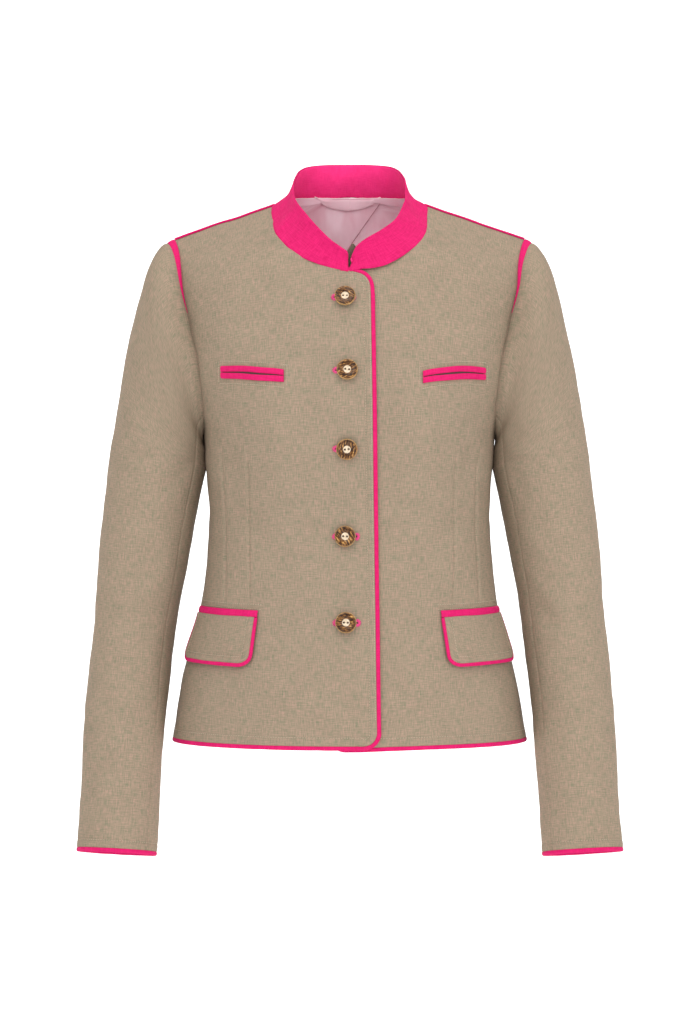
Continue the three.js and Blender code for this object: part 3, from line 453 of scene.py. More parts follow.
def wall(name, placed, thick, materials, node, kept=None, rim=0.3, lined=None):
    """A cloth wall with rounded edges behind a grid of outer points, lined with its last material."""
    outer, out = placed
    n, m = outer.shape[:2]
    kept = np.ones((n - 1, m - 1), bool) if kept is None else kept
    inner = outer - out * thick
    points = np.concatenate([outer.reshape(-1, 3), inner.reshape(-1, 3)])
    uv = cloth_uv(outer).reshape(-1, 2)
    uv = np.concatenate([uv, uv])
    ids = np.arange(n * m).reshape(n, m)
    corners = [ids[:-1, :-1], ids[:-1, 1:], ids[1:, 1:], ids[1:, :-1]]
    quads = np.stack([c[kept] for c in corners], -1)
    a, b, c = (points[quads[:, k]] for k in (0, 1, 2))
    facing = (np.cross(b - a, c - a) * out.reshape(-1, 3)[quads[:, 0]]).sum(-1)
    if np.median(facing) < 0:
        quads = quads[:, ::-1]
    count = n * m
    faces = [*quads.tolist(), *(quads[:, ::-1] + count).tolist()]
    kinds = [0] * len(quads)
    if lined is None:
        kinds += [len(materials) - 1] * len(quads)
    else:
        kinds += lined(points[quads].mean(1)).astype(int).tolist()
    edges = dict.fromkeys((quad[k], quad[(k + 1) % 4]) for quad in quads.tolist() for k in range(4))
    rims = [(a, b) for a, b in edges if (b, a) not in edges]
    push = np.zeros((count, 3))
    normals = out.reshape(-1, 3)
    for a, b in rims:
        way = np.cross(points[b] - points[a], normals[a])
        push[a] += way
        push[b] += way
    rim_ids = sorted({k for pair in rims for k in pair})
    number = {k: 2 * count + i for i, k in enumerate(rim_ids)}
    pick = np.array(rim_ids)
    middle = (points[pick] + points[pick + count]) / 2 + unit(push[pick]) * thick * rim
    points = np.concatenate([points, middle])
    uv = np.concatenate([uv, uv[pick]])
    for a, b in rims:
        faces.append([b, a, number[a], number[b]])
        faces.append([number[b], number[a], a + count, b + count])
    kinds += [0] * (2 * len(rims))
    used = np.unique(np.concatenate([np.asarray(f) for f in faces]))
    renumber = np.full(len(points), -1)
    renumber[used] = np.arange(len(used))
    faces = [[int(renumber[k]) for k in f] for f in faces]
    piece = finish_mesh(name, points[used], faces, uv[used], materials, kinds, node)
    return piece


def cord(name, line, out, side, shift, width, thick, materials, node, ring=False, sides=14, uneven=0.0):
    """A rounded strip beside a line of points, shift away from it."""
    count = len(line)
    if ring:
        run = np.roll(line, -1, 0) - np.roll(line, 1, 0)
    else:
        run = np.gradient(line, axis=0)
    across = unit(np.cross(run, out)) * side
    middle = line + across * shift
    turn = np.linspace(0, 2 * math.pi, sides, endpoint=False)
    swell = 1 + uneven * wobble(middle, 16, 5)
    wide = np.broadcast_to(np.asarray(width, float), (count,))
    a = np.sign(np.cos(turn)) * np.abs(np.cos(turn)) ** 0.8 / 2 * wide[:, None] * swell[:, None]
    b = np.sin(turn) / 2 * thick
    grid = (
        middle[:, None]
        + across[:, None] * a[..., None]
        + out[:, None] * b[None, :, None] * swell[:, None, None]
    )
    step = np.linalg.norm(np.diff(middle, axis=0), axis=-1)
    along = np.concatenate([[0], np.cumsum(step)])
    around = turn / (2 * math.pi) * (wide.max() + thick) * 1.6
    uv = np.stack(np.broadcast_arrays(around[None, :], along[:, None]), -1)
    faces = []
    spans = count if ring else count - 1
    for i in range(spans):
        j = (i + 1) % count
        for k in range(sides):
            m = (k + 1) % sides
            faces.append([i * sides + k, j * sides + k, j * sides + m, i * sides + m])
    if not ring:
        faces.append(list(range(sides)))
        faces.append([(count - 1) * sides + k for k in reversed(range(sides))])
    first = grid.reshape(-1, 3)
    q = faces[0]
    if np.dot(np.cross(first[q[1]] - first[q[0]], first[q[2]] - first[q[0]]), first[q[0]] - middle[0]) < 0:
        faces = [f[::-1] for f in faces]
    return finish_mesh(name, first, faces, uv.reshape(-1, 2), materials, None, node)


THREAD_RINGS = [(-0.5, 0.3, -0.5), (-0.36, 0.85, 0.1), (0.0, 1.0, 0.45), (0.36, 0.85, 0.1), (0.5, 0.3, -0.5)]
THREAD_SIDES = 6


def threads(name, centres, ways, outs, long, radius, material, seed=3):
    """Short thread lengths sunk into the cloth at both ends."""
    rng = np.random.default_rng(seed)
    ways, outs = unit(ways), unit(outs)
    over = unit(np.cross(ways, outs))
    ways = unit(ways + over * rng.normal(0, 0.05, (len(ways), 1)))
    long = np.broadcast_to(np.asarray(long, float), (len(centres),)) * rng.uniform(0.92, 1.06, len(centres))
    turn = np.linspace(0, 2 * math.pi, THREAD_SIDES, endpoint=False)
    rings = []
    for place, fat, lift in THREAD_RINGS:
        base = centres + ways * (place * long)[:, None] + outs * lift * radius
        ring = base[:, None] + radius * fat * (
            over[:, None] * np.cos(turn)[None, :, None] + outs[:, None] * np.sin(turn)[None, :, None]
        )
        rings.append(ring)
    grid = np.stack(rings, 1)
    each = len(THREAD_RINGS) * THREAD_SIDES
    template = []
    for r in range(len(THREAD_RINGS) - 1):
        for k in range(THREAD_SIDES):
            m = (k + 1) % THREAD_SIDES
            a, b = r * THREAD_SIDES, (r + 1) * THREAD_SIDES
            template.append([a + k, a + m, b + m, b + k])
    template.append(list(range(THREAD_SIDES))[::-1])
    template.append([each - THREAD_SIDES + k for k in range(THREAD_SIDES)])
    faces = [[i * each + k for k in f] for i in range(len(centres)) for f in template]
    uv = np.tile(np.stack([np.arange(each) * 0.3, np.arange(each) * 0.2], -1), (len(centres), 1))
    return finish_mesh(name, grid.reshape(-1, 3), faces, uv, [material], None, None, hard=80)


def interpolated(at, along, column):
    return np.stack([np.interp(at, along, column[:, k]) for k in range(3)], -1)


def evenly(line, out, pitch):
    """Points along a line at an even pitch, with the line's direction."""
    step = np.linalg.norm(np.diff(line, axis=0), axis=-1)
    along = np.concatenate([[0], np.cumsum(step)])
    count = max(int(along[-1] / pitch), 2)
    at = (np.arange(count) + 0.5) * along[-1] / count
    return [interpolated(at, along, column) for column in (line, np.gradient(line, along, axis=0), out)]


def topstitch(name, placed, pitch=STITCH["pitch"], seed=3):
    points, ways, outs = evenly(*placed, pitch)
    threads(name, points, ways, outs, STITCH["long"], STITCH["radius"], linen_thread, seed)


def piping(name, placed, side, node, ring=False):
    """The piping sewn into an edge, just outside it."""
    line, out = placed
    width, thick = PIPING["width"], PIPING["thick"]
    cord(name, line, out, side, width / 2 + 0.1, width, thick, [pink], node, ring, uneven=0.02)


# Materials
def nodes_of(name):
    material = bpy.data.materials.new(name)
    material.use_nodes = True
    tree = material.node_tree
    return material, tree, tree.nodes["Principled BSDF"]


def set_inputs(node, **values):
    """Sets a node's sockets, named with _ for a space."""
    for name, value in values.items():
        node.inputs[name.replace("_", " ")].default_value = value


def mapped(tree, name="cloth"):
    """The coordinates of one of a piece's UV maps, in metres along the cloth."""
    node = tree.nodes.new("ShaderNodeUVMap")
    node.uv_map = name
    return node.outputs["UV"]


def maths(tree, kind, a, b=None):
    node = tree.nodes.new("ShaderNodeMath")
    node.operation = kind
    for socket, value in zip(node.inputs, (a, b)):
        if value is None:
            continue
        if isinstance(value, (int, float)):
            socket.default_value = value
        else:
            tree.links.new(value, socket)
    return node.outputs[0]


def noise(tree, vector, scale, detail, rough):
    node = tree.nodes.new("ShaderNodeTexNoise")
    set_inputs(node, Scale=scale, Detail=detail, Roughness=rough)
    tree.links.new(vector, node.inputs["Vector"])
    return node.outputs["Fac"]


def stretched(tree, vector, scale):
    node = tree.nodes.new("ShaderNodeMapping")
    set_inputs(node, Scale=scale)
    tree.links.new(vector, node.inputs["Vector"])
    return node.outputs["Vector"]


def ramp(tree, value, stops):
    node = tree.nodes.new("ShaderNodeValToRGB")
    while len(node.color_ramp.elements) < len(stops):
        node.color_ramp.elements.new(0.5)
    for element, (place, colour) in zip(node.color_ramp.elements, stops):
        element.position = place
        element.color = (*colour, 1)
    tree.links.new(value, node.inputs["Fac"])
    return node.outputs["Color"]


def mixed(tree, kind, factor, a, b):
    node = tree.nodes.new("ShaderNodeMix")
    node.data_type = "RGBA"
    node.blend_type = kind
    if isinstance(factor, (int, float)):
        node.inputs["Factor"].default_value = factor
    else:
        tree.links.new(factor, node.inputs["Factor"])
    tree.links.new(a, node.inputs["A"])
    tree.links.new(b, node.inputs["B"])
    return node.outputs["Result"]


def bumped(tree, shader, height, distance):
    node = tree.nodes.new("ShaderNodeBump")
    set_inputs(node, Strength=1.0, Distance=distance)
    tree.links.new(height, node.inputs["Height"])
    tree.links.new(node.outputs["Normal"], shader.inputs["Normal"])


def woven(name, warp, weft, mottle, thread=0.62, slub=7.0, sheen=0.08, tint=None):
    """Plain-woven cloth: warp and weft threads of uneven thickness and colour, over a faint mottle."""
    material, tree, shader = nodes_of(name)
    vector = mapped(tree)
    fine = 1 / (thread * 1.7 * MM)
    long = 1 / (slub * MM)
    up = noise(tree, stretched(tree, vector, (fine, long, 1)), 1, 3, 0.6)
    across = noise(tree, stretched(tree, vector, (long, fine, 1)), 1, 3, 0.6)
    parts = tree.nodes.new("ShaderNodeSeparateXYZ")
    tree.links.new(vector, parts.inputs[0])
    pace = math.pi / (thread * MM)
    over = maths(tree, "SINE", maths(tree, "MULTIPLY", parts.outputs[0], pace))
    under = maths(tree, "SINE", maths(tree, "MULTIPLY", parts.outputs[1], pace))
    cross = maths(tree, "MULTIPLY", over, under)
    side = maths(tree, "MULTIPLY_ADD", cross, 0.35)
    side.node.inputs[2].default_value = 0.5
    warp_colour = ramp(tree, up, [(0.3, warp[0]), (0.7, warp[1])])
    weft_colour = ramp(tree, across, [(0.3, weft[0]), (0.7, weft[1])])
    colour = mixed(tree, "MIX", side, warp_colour, weft_colour)
    cloud = noise(tree, vector, 38, 4, 0.6)
    shade = ramp(tree, cloud, [(0.3, (1 - mottle,) * 3), (0.7, (1, 1, 1))])
    colour = mixed(tree, "MULTIPLY", 1.0, colour, shade)
    tree.links.new(colour, shader.inputs["Base Color"])
    set_inputs(shader, Roughness=0.88, Specular_IOR_Level=0.25)
    set_inputs(shader, Sheen_Weight=sheen, Sheen_Roughness=0.45, Sheen_Tint=(*(tint or warp[1]), 1))
    raised = maths(tree, "ADD", maths(tree, "MULTIPLY", cross, 0.3), maths(tree, "ADD", up, across))
    bumped(tree, shader, raised, 0.00016)
    return material


def satin(name, low, high):
    material, tree, shader = nodes_of(name)
    vector = mapped(tree)
    cloud = noise(tree, stretched(tree, vector, (34, 14, 1)), 1, 3, 0.5)
    tree.links.new(ramp(tree, cloud, [(0.3, low), (0.7, high)]), shader.inputs["Base Color"])
    ribs = noise(tree, stretched(tree, vector, (2600, 200, 1)), 1, 2, 0.5)
    set_inputs(shader, Roughness=0.42, Sheen_Weight=0.3, Sheen_Roughness=0.3, Sheen_Tint=(*high, 1))
    bumped(tree, shader, ribs, 0.00004)
    return material


def plain(name, low, high, scale, rough):
    """Spun thread, or the painted shadow of a slit: two close colours over a fine grain."""
    material, tree, shader = nodes_of(name)
    where = tree.nodes.new("ShaderNodeTexCoord")
    grain = noise(tree, where.outputs["Object"], scale, 3, 0.6)
    tree.links.new(ramp(tree, grain, [(0.3, low), (0.7, high)]), shader.inputs["Base Color"])
    set_inputs(shader, Roughness=rough)
    bumped(tree, shader, grain, 0.00003)
    return material


def horn_material():
    """Streaked brown horn with a pale core and a paler edge."""
    material, tree, shader = nodes_of("horn_streaked")
    grain = mapped(tree, "grain")
    dark, brown, tan = (0.016, 0.006, 0.002), (0.075, 0.028, 0.007), (0.5, 0.27, 0.08)
    streak = noise(tree, stretched(tree, grain, (640, 170, 1)), 1, 3, 0.65)
    streaks = ramp(tree, streak, [(0.4, dark), (0.5, brown), (0.58, (0.2, 0.085, 0.022)), (0.66, tan)])
    flecks = noise(tree, stretched(tree, grain, (900, 160, 1)), 1, 4, 0.7)
    fleck = maths(tree, "MULTIPLY", smooth_step(tree, flecks, 0.62, 0.72), 0.8)
    streaks = mixed(tree, "MIX", fleck, streaks, ramp(tree, flecks, [(0.0, tan), (1.0, tan)]))
    distance = tree.nodes.new("ShaderNodeVectorMath")
    distance.operation = "LENGTH"
    tree.links.new(mapped(tree), distance.inputs[0])
    radius = distance.outputs["Value"]
    core = maths(tree, "SUBTRACT", 1.0, smooth_step(tree, radius, 0.0033, 0.004))
    pale = ramp(tree, flecks, [(0.35, (0.5, 0.38, 0.25)), (0.65, (0.72, 0.6, 0.45))])
    colour = mixed(tree, "MIX", core, streaks, pale)
    edge = maths(tree, "MULTIPLY", smooth_step(tree, radius, 0.0092, 0.0101), 0.8)
    paler = ramp(tree, flecks, [(0.3, (0.26, 0.13, 0.04)), (0.7, (0.62, 0.38, 0.15))])
    colour = mixed(tree, "MIX", edge, colour, paler)
    tree.links.new(colour, shader.inputs["Base Color"])
    set_inputs(shader, Roughness=0.24, Specular_IOR_Level=0.25, Coat_Weight=0.06, Coat_Roughness=0.15)
    bumped(tree, shader, flecks, 0.0001)
    return material


def smooth_step(tree, value, low, high):
    node = tree.nodes.new("ShaderNodeMapRange")
    node.interpolation_type = "SMOOTHSTEP"
    set_inputs(node, From_Min=low, From_Max=high)
    tree.links.new(value, node.inputs["Value"])
    return node.outputs["Result"]


LINEN_WARP = ((0.115, 0.155, 0.09), (0.435, 0.265, 0.205))
LINEN_WEFT = ((0.13, 0.16, 0.095), (0.41, 0.26, 0.2))
linen = woven("linen_melange", LINEN_WARP, LINEN_WEFT, 0.08, thread=0.56, slub=9.0, sheen=0.05)
# Painted shade: a darker copy of the linen for the neck facing, which lies in shadow behind the collar
SHADED_WARP = ((0.05, 0.065, 0.04), (0.17, 0.11, 0.085))
SHADED_WEFT = ((0.055, 0.065, 0.04), (0.16, 0.11, 0.08))
linen_shaded = woven("linen_facing_painted_shade", SHADED_WARP, SHADED_WEFT, 0.08)
PINK_WARP = ((0.47, 0.0005, 0.08), (0.68, 0.011, 0.14))
PINK_WEFT = ((0.49, 0.0005, 0.086), (0.7, 0.012, 0.146))
pink = woven("pink_linen", PINK_WARP, PINK_WEFT, 0.1, thread=0.8, slub=10.0, sheen=0.02, tint=(1.0, 0.2, 0.5))
# Painted light: a brighter copy of the pink for the collar's inner faces, lit as brightly as its outer ones
PINK_PAINTED_LIGHT_WARP = ((0.86, 0.022, 0.18), (1.0, 0.04, 0.25))
PINK_PAINTED_LIGHT_WEFT = ((0.88, 0.024, 0.19), (1.0, 0.042, 0.26))
pink_painted_light = woven("pink_linen_painted_light", PINK_PAINTED_LIGHT_WARP, PINK_PAINTED_LIGHT_WEFT, 0.08, sheen=0.02, tint=(1.0, 0.3, 0.6))
lining = satin("dusty_pink_satin", (0.78, 0.42, 0.5), (1.0, 0.8, 0.86))
# Painted light: a lighter copy of the lining satin for the hanger loop, which catches more light
loop_satin_painted_light = satin("loop_satin_painted_light", (0.9, 0.62, 0.68), (1.0, 0.79, 0.85))
lining_seam = plain("lining_seam", (0.46, 0.2, 0.24), (0.6, 0.3, 0.35), 900, 0.6)
linen_thread = plain("linen_thread", (0.36, 0.3, 0.21), (0.48, 0.4, 0.3), 2400, 0.7)
pink_thread = plain("pink_thread", (0.6, 0.02, 0.15), (0.8, 0.08, 0.28), 2400, 0.6)
# Painted shadow: a near-black sheet for the slits of the pockets and buttonholes, where only shade shows
pocket_painted_shadow = plain("pocket_shadow", (0.05, 0.028, 0.026), (0.09, 0.045, 0.04), 900, 0.9)
horn = horn_material()


# Panels
def lap_edge(side, z):
    """How far a front runs past the centre at a height."""
    z = np.asarray(z, float)
    hem, top = BODY["front_z"][0], BODY["front_z"][NECK_ROW["front"]]
    from_hem = np.maximum(z - hem, 0)
    inside = np.sqrt(np.maximum(HEM_CORNER**2 - np.maximum(HEM_CORNER - from_hem, 0) ** 2, 0))
    corner = HEM_CORNER - inside
    if side == "left":
        return LAP_LEFT - corner
    full = LAP_RIGHT["top"] + (LAP_RIGHT["hem"] - LAP_RIGHT["top"]) * (top - z) / (top - hem)
    below = np.clip((LAP_TOP - z) / LAP_CORNER, 0, 1)
    return full * (1 - (1 - below) ** LAP_SQUARE) ** (1 / LAP_SQUARE) - corner


def hem_drop(side, row, x):
    drop = UNDERLAP_DROP * gauss(x / 45) if side == "left" else 0 * x
    return drop * (1 - smooth(row, 0, 0.45))


LAST_ROW = TOP - 0.01
HEM_STEPS = np.array([0, 1, 2.2, 3.4, 4.6, 5.6, 6.4, 7.2, 8.2, 9.4, 10.8, 12.4, 14]) / HEM_ROW
FRONT_ROWS = np.unique(
    np.concatenate([
        HEM_STEPS, np.linspace(0.25, 10, 150), np.linspace(10, 11, 26), np.linspace(11, LAST_ROW, 56)
    ])
)
BACK_ROWS = np.unique(np.concatenate([HEM_STEPS, np.linspace(0.25, 12, 150), np.linspace(12, LAST_ROW, 46)]))
EDGE_STEPS = np.array([0, 0.8, 1.7, 2.8, 4, 5.2, 6, 6.6, 7.2, 8, 9.2, 11])
DART_STEPS = np.array([-4, -2.4, -1.4, -0.7, 0, 0.7, 1.4, 2.4, 4])


def dart_x(side, name, z):
    table = sorted(DARTS[side][name])
    return np.interp(z, [a for a, _ in table], [b for _, b in table])


def groove(distance, width, depth):
    return -depth * gauss(distance / width)


def edge_roll(distance):
    """Cloth turning down into a seam over its last millimetres."""
    return -0.9 * gauss(distance / 1.3) - 0.25 * gauss(distance / 5)


def lengths_from(points, forward=True):
    step = np.linalg.norm(np.diff(points, axis=1), axis=-1)
    zero = np.zeros((len(points), 1))
    if forward:
        return np.concatenate([zero, np.cumsum(step, 1)], 1)
    return np.concatenate([np.cumsum(step[:, ::-1], 1)[:, ::-1], zero], 1)


def beyond_facing(p):
    """Where a front's inside has its lining and not its facing."""
    return (np.abs(p[:, 0]) > FACING["wide"]) & (p[:, 2] < FACING["top"])


def front_panel(side):
    main = MAIN[side]
    rows = FRONT_ROWS
    z0 = through(BODY["front_z"], np.minimum(rows, NECK_ROW["front"]))
    reach = np.maximum(np.where(rows < NECK_ROW["front"], lap_edge(side, z0), 0), 0.01)[:, None]
    # Columns past the centre, even from the stitched edge to the centre
    lap_x = -(reach - EDGE_STEPS[None, :] * np.minimum(reach / 14, 1))
    rest = np.linspace(0, 1, 6)[None, 1:-1]
    lap_x = np.concatenate([lap_x, lap_x[:, -1:] * (1 - rest)], 1)
    lap_s = share_at_x("front", rows[:, None], np.minimum(lap_x, -1e-4))
    low = neck_share("front", rows)[:, None]
    high = armhole_share("front", rows)[:, None] - 0.0002
    dart_s = []
    for name in ("inner", "outer"):
        x = dart_x(side, name, z0)[:, None] + DART_STEPS[None, :]
        dart_s.append(share_at_x("front", rows[:, None], x))
    inner, outer = dart_s
    first = low + (inner[:, :1] - low) * np.linspace(0, 1, 27)[None, :-1]
    second = inner[:, -1:] + (outer[:, :1] - inner[:, -1:]) * np.linspace(0, 1, 8)[None, 1:-1]
    tail = 1 - (1 - np.linspace(0, 1, 19)[None, 1:]) ** 1.3
    third = outer[:, -1:] + (high - outer[:, -1:]) * tail
    s = np.concatenate([lap_s, first, inner, second, outer, third], 1)
    zero = lap_s.shape[1]
    row = rows[:, None] + 0 * s
    points, out = skin_of(side, row, s)
    kept = np.ones((len(rows) - 1, s.shape[1] - 1), bool)
    kept[rows[:-1] > 10.96, :zero] = False
    x, z = points[..., 0], points[..., 2]
    relief = np.zeros(s.shape)
    fade = smooth(z, DART_GROOVE["low"], DART_GROOVE["low"] + 6)
    fade = fade * (1 - smooth(z, DART_GROOVE["high"] - 26, DART_GROOVE["high"] + 4))
    for name in ("inner", "outer"):
        off = x - dart_x(side, name, z)
        relief += fade * groove(off, DART_GROOVE["width"], DART_GROOVE["depth"])
        relief += fade * 0.35 * gauss((off - 3) / 2.2) * (1 + 0.5 * wobble(points, 14, 21))
    to_side = lengths_from(points, forward=False)
    relief += edge_roll(to_side) * np.where(row < UNDERARM + 0.2, 1, 0.4)
    relief += edge_roll((TOP - row) * TOP_ROW) * 0.6
    # The stitched front edge and hem
    from_edge = lengths_from(points)
    lapped = row < 10.2
    relief += lapped * (groove(from_edge - EDGE_STITCH, 0.9, 0.4) + 0.3 * gauss((from_edge - 3.2) / 2.6))
    relief += hem_relief(row * HEM_ROW)
    points = points + out * relief[..., None]
    drop = hem_drop(side, row, points[..., 0])
    points = points - drop[..., None] * [0, 0, 1]
    placed = turned(main, (points, out))
    wall(f"{side}_front_cloth", placed, WALL, [linen, lining], f"front_{side}", kept=kept,
         lined=beyond_facing)


def back_panel(side):
    main = MAIN[side]
    rows = BACK_ROWS[:, None]
    low = neck_share("back", rows)
    high = armhole_share("back", rows) - 0.0002
    cb = np.where(rows <= NECK_ROW["back"], 0.0008, low)
    fine = np.array([0, 0.004, 0.009, 0.016, 0.026, 0.04])
    z0 = through(BODY["back_z"], np.minimum(BACK_ROWS, NECK_ROW["back"]))[:, None]
    dart = share_at_x("back", rows, BACK_DARTS["x"] + DART_STEPS[None, :] - 0.012 * np.minimum(z0 + 330, 0))
    begin = cb + fine[None, :]
    first = begin[:, -1:] + (dart[:, :1] - begin[:, -1:]) * np.linspace(0, 1, 24)[None, 1:-1]
    tail = 1 - (1 - np.linspace(0, 1, 30)[None, 1:]) ** 1.25
    last = dart[:, -1:] + (high - dart[:, -1:]) * tail
    s = np.concatenate([begin, first, dart, last], 1)
    s = np.maximum.accumulate(s, 1)
    row = rows + 0 * s
    p = body("back", row, s)
    out = body_out("back", row, s)
    points = p + out * folds("back", p * [main, 1, 1])[..., None]
    relief = edge_roll(lengths_from(points, forward=False)) * np.where(row >= UNDERARM + 0.2, 0.4, 1)
    centre = np.where(row <= NECK_ROW["back"] + 0.1, edge_roll(lengths_from(points)), 0)
    relief = relief + centre + 0.6 * edge_roll((TOP - row) * TOP_ROW)
    z = points[..., 2]
    fade = smooth(z, BACK_DARTS["low"], BACK_DARTS["low"] + 40) * (
        1 - smooth(z, BACK_DARTS["high"] - 40, BACK_DARTS["high"])
    )
    centre_index = begin.shape[1] + first.shape[1] + len(DART_STEPS) // 2
    off = points[..., 0] - points[:, centre_index : centre_index + 1, 0]
    relief += fade * groove(off, DART_GROOVE["width"], DART_GROOVE["depth"])
    relief += hem_relief(row * HEM_ROW)
    points = points + out * relief[..., None]
    placed = turned(main, (points, out))
    wall(f"{side}_back_cloth", placed, WALL, [linen, lining], f"back_{side}")


PLEAT = {"x": 37.0, "z": 18.0, "lean": 0.74}


def pleat_x(z):
    return PLEAT["x"] - (PLEAT["z"] - z) * PLEAT["lean"]


def back_lining():
    """The lining inside both backs, with its soft waves and a pleat that leans from the neck to the front."""
    rows = np.linspace(1, 14.4, 190)
    half = np.linspace(0, 1, 60)
    low = np.maximum(neck_share("back", rows), 0)[:, None]
    high = np.minimum(armhole_share("back", rows), 0.985)[:, None]
    left = low + (high - low) * half[None, :]
    left = np.where(left < 1e-4, 1e-4, left)
    s = np.concatenate([-left[:, ::-1], left], 1)
    row = rows[:, None] + 0 * s
    p, out = on_back(row, s)
    waves = 0.5 * np.sin(p[..., 0] / 11 + 0.6 * np.sin(p[..., 2] / 40)) + 0.5 * wobble(p * [1, 1, 0.4], 34, 31)
    off = p[..., 0] - pleat_x(p[..., 2])
    pleat = 1.1 * smooth(off, -1.4, 0.4) * (1 - smooth(off, 2, 26))
    inset = WALL + LINING["air"] + 0.6 + 0.35 * waves - pleat * 0.9
    points = p - out * inset[..., None]
    middle = half.size - 1
    kept = np.ones((len(rows) - 1, s.shape[1] - 1), bool)
    kept[rows[:-1] >= NECK_ROW["back"], middle] = False
    wall("back_lining_satin", (points, out), LINING["wall"], [lining], "back_lining", kept)
    z = np.linspace(14, -60, 60)
    x = pleat_x(z)
    row = back_row(np.abs(x) + 1e-3, z, 6)
    p, out = on_back(row, share_at_x("back", row, x))
    line = p - out * (WALL + LINING["air"] + LINING["wall"] + 0.4)
    cord("lining_seam_line", line, -out, 1, 0, 0.7, 1.0, [lining_seam], None)


# The collar
BAND_TOP = 305.2  # how high its inner seam looks to the camera, measured like the front edge
NECK_FINE = 60
ROWS_FRONT = np.linspace(NECK_ROW["front"], TOP, 4 * NECK_FINE + 1)
ROWS_BACK = np.linspace(TOP, NECK_ROW["back"], 3 * NECK_FINE + 1)[1:]


def neck_line():
    """The neckline from the centre front to the centre back, the way its cloth faces and its creases."""
    placed = []
    for part, rows in (("front", ROWS_FRONT), ("back", ROWS_BACK)):
        s = neck_share(part, rows)
        placed.append((body(part, rows, s), body_out(part, rows, s)))
    points, outs = (np.concatenate([pair[k] for pair in placed]) for k in (0, 1))
    crease = folds("front", points)
    return points, outs, crease


NECKLINE, NECK_OUT, NECK_CREASE = neck_line()
NECK_ALONG = np.concatenate([[0], np.cumsum(np.linalg.norm(np.diff(NECKLINE, axis=0), axis=-1))])
NECK_AWAY = unit(np.cross(np.gradient(NECKLINE, axis=0), NECK_OUT))
NECK_AWAY *= np.sign((NECK_AWAY * NECKLINE * [1, 1, 0]).sum(-1, keepdims=True))


def along_neck(column, share):
    at = np.asarray(share) * NECK_ALONG[-1]
    if column.ndim == 1:
        return np.interp(at, NECK_ALONG, column)
    return interpolated(at, NECK_ALONG, column)


def collar_point(side, share, up):
    share, up = np.broadcast_arrays(np.asarray(share, float), np.asarray(up, float))
    base = along_neck(NECKLINE, share)
    away = unit(base * [1, 1, 0])
    # The foot laps over the front's neck edge, a little further on the wearer's left
    over = 1 - smooth(share, 0.3, 0.5)
    reach = over * (2.6 + (2.0 * smooth(share, 0.02, 0.1) if side == "left" else 0))
    lift = (1.3 + along_neck(NECK_CREASE, share)) * (1 - smooth(share, 0.5, 0.62))
    foot = base + along_neck(NECK_AWAY, share) * reach[..., None]
    foot = foot + along_neck(NECK_OUT, share) * lift[..., None]
    foot[..., 2] += COLLAR["seat"] * smooth(share, 0.5, 0.62)
    knots = len(COLLAR_TOP["x"]) - 2
    top = np.stack([through(COLLAR_TOP[k], share * knots) for k in ("x", "y", side)], -1)
    corner = COLLAR["corner"][side]
    near = np.clip(1 - share * NECK_ALONG[-1] / corner, 0, 1)
    tall = np.linalg.norm(top - foot, axis=-1)
    height = up * (1 - np.minimum((1 - np.sqrt(1 - near**2)) * corner / tall, 0.7))
    q = foot + (top - foot) * height[..., None]
    q = q - away * (COLLAR["hollow"] * 4 * height * (1 - height))[..., None]
    # The gap between the collar's two ends opens upwards and lies off the centre
    gap = 2.0 * up**2 - 0.2 if side == "left" else 0.7 + 1.5 * up
    q[..., 0] += gap * np.clip(1 - q[..., 0] / 14, 0, 1)
    return q


def collar_face(side, share, up, inset=0.0):
    """Points of one half of the collar, inset from its outer face, and the way they face."""
    p = collar_point(side, share, up)
    d = 0.004
    before, after = np.maximum(share - d, 0), np.minimum(share + d, 1)
    along = collar_point(side, after, up) - collar_point(side, before, up)
    rise = collar_point(side, share, np.minimum(up + d, 1)) - collar_point(side, share, np.maximum(up - d, 0))
    out = unit(np.cross(along, rise))
    out[..., 0] = np.where(share >= 1, 0, out[..., 0])
    out = unit(out)
    main = MAIN[side]
    world = p * [main, 1, 1]
    relief = 0.3 * wobble(world, 26, 41) + 0.15 * wobble(world, 11, 42)
    relief = relief + groove(world[..., 0], 1.2, 0.15) * (world[..., 1] > 0) - 0.25 * gauss(up * 9)
    return turned(main, (p + out * (relief - inset)[..., None], out))


def both_halves(share, ups, inset=0.0):
    left, left_out = collar_face("left", share, ups["left"], inset)
    right, right_out = collar_face("right", share, ups["right"], inset)
    return np.concatenate([left, right[:-1][::-1]]), np.concatenate([left_out, right_out[:-1][::-1]])


def collar():
    shares = np.unique(np.concatenate([np.linspace(0.001, 0.08, 24), np.linspace(0.08, 1, 90)]))
    ups = np.concatenate([[0, 0.02, 0.05], np.linspace(0.1, 0.9, 12), [0.94, 0.97, 1]])
    share, up = np.meshgrid(shares, ups, indexing="ij")
    placed = both_halves(share, {"left": up, "right": up})
    # The collar's inner faces take the brighter pink of painted light
    wall("collar_cloth", placed, COLLAR["wall"], [pink, pink_painted_light], "collar", rim=0.45)


def seen_height(p):
    """How high points look to the camera, as lengths at the distance of the front edge."""
    return (p[..., 2] - EYE[2]) / (p[..., 1] - EYE[1]) * FRONT_AWAY


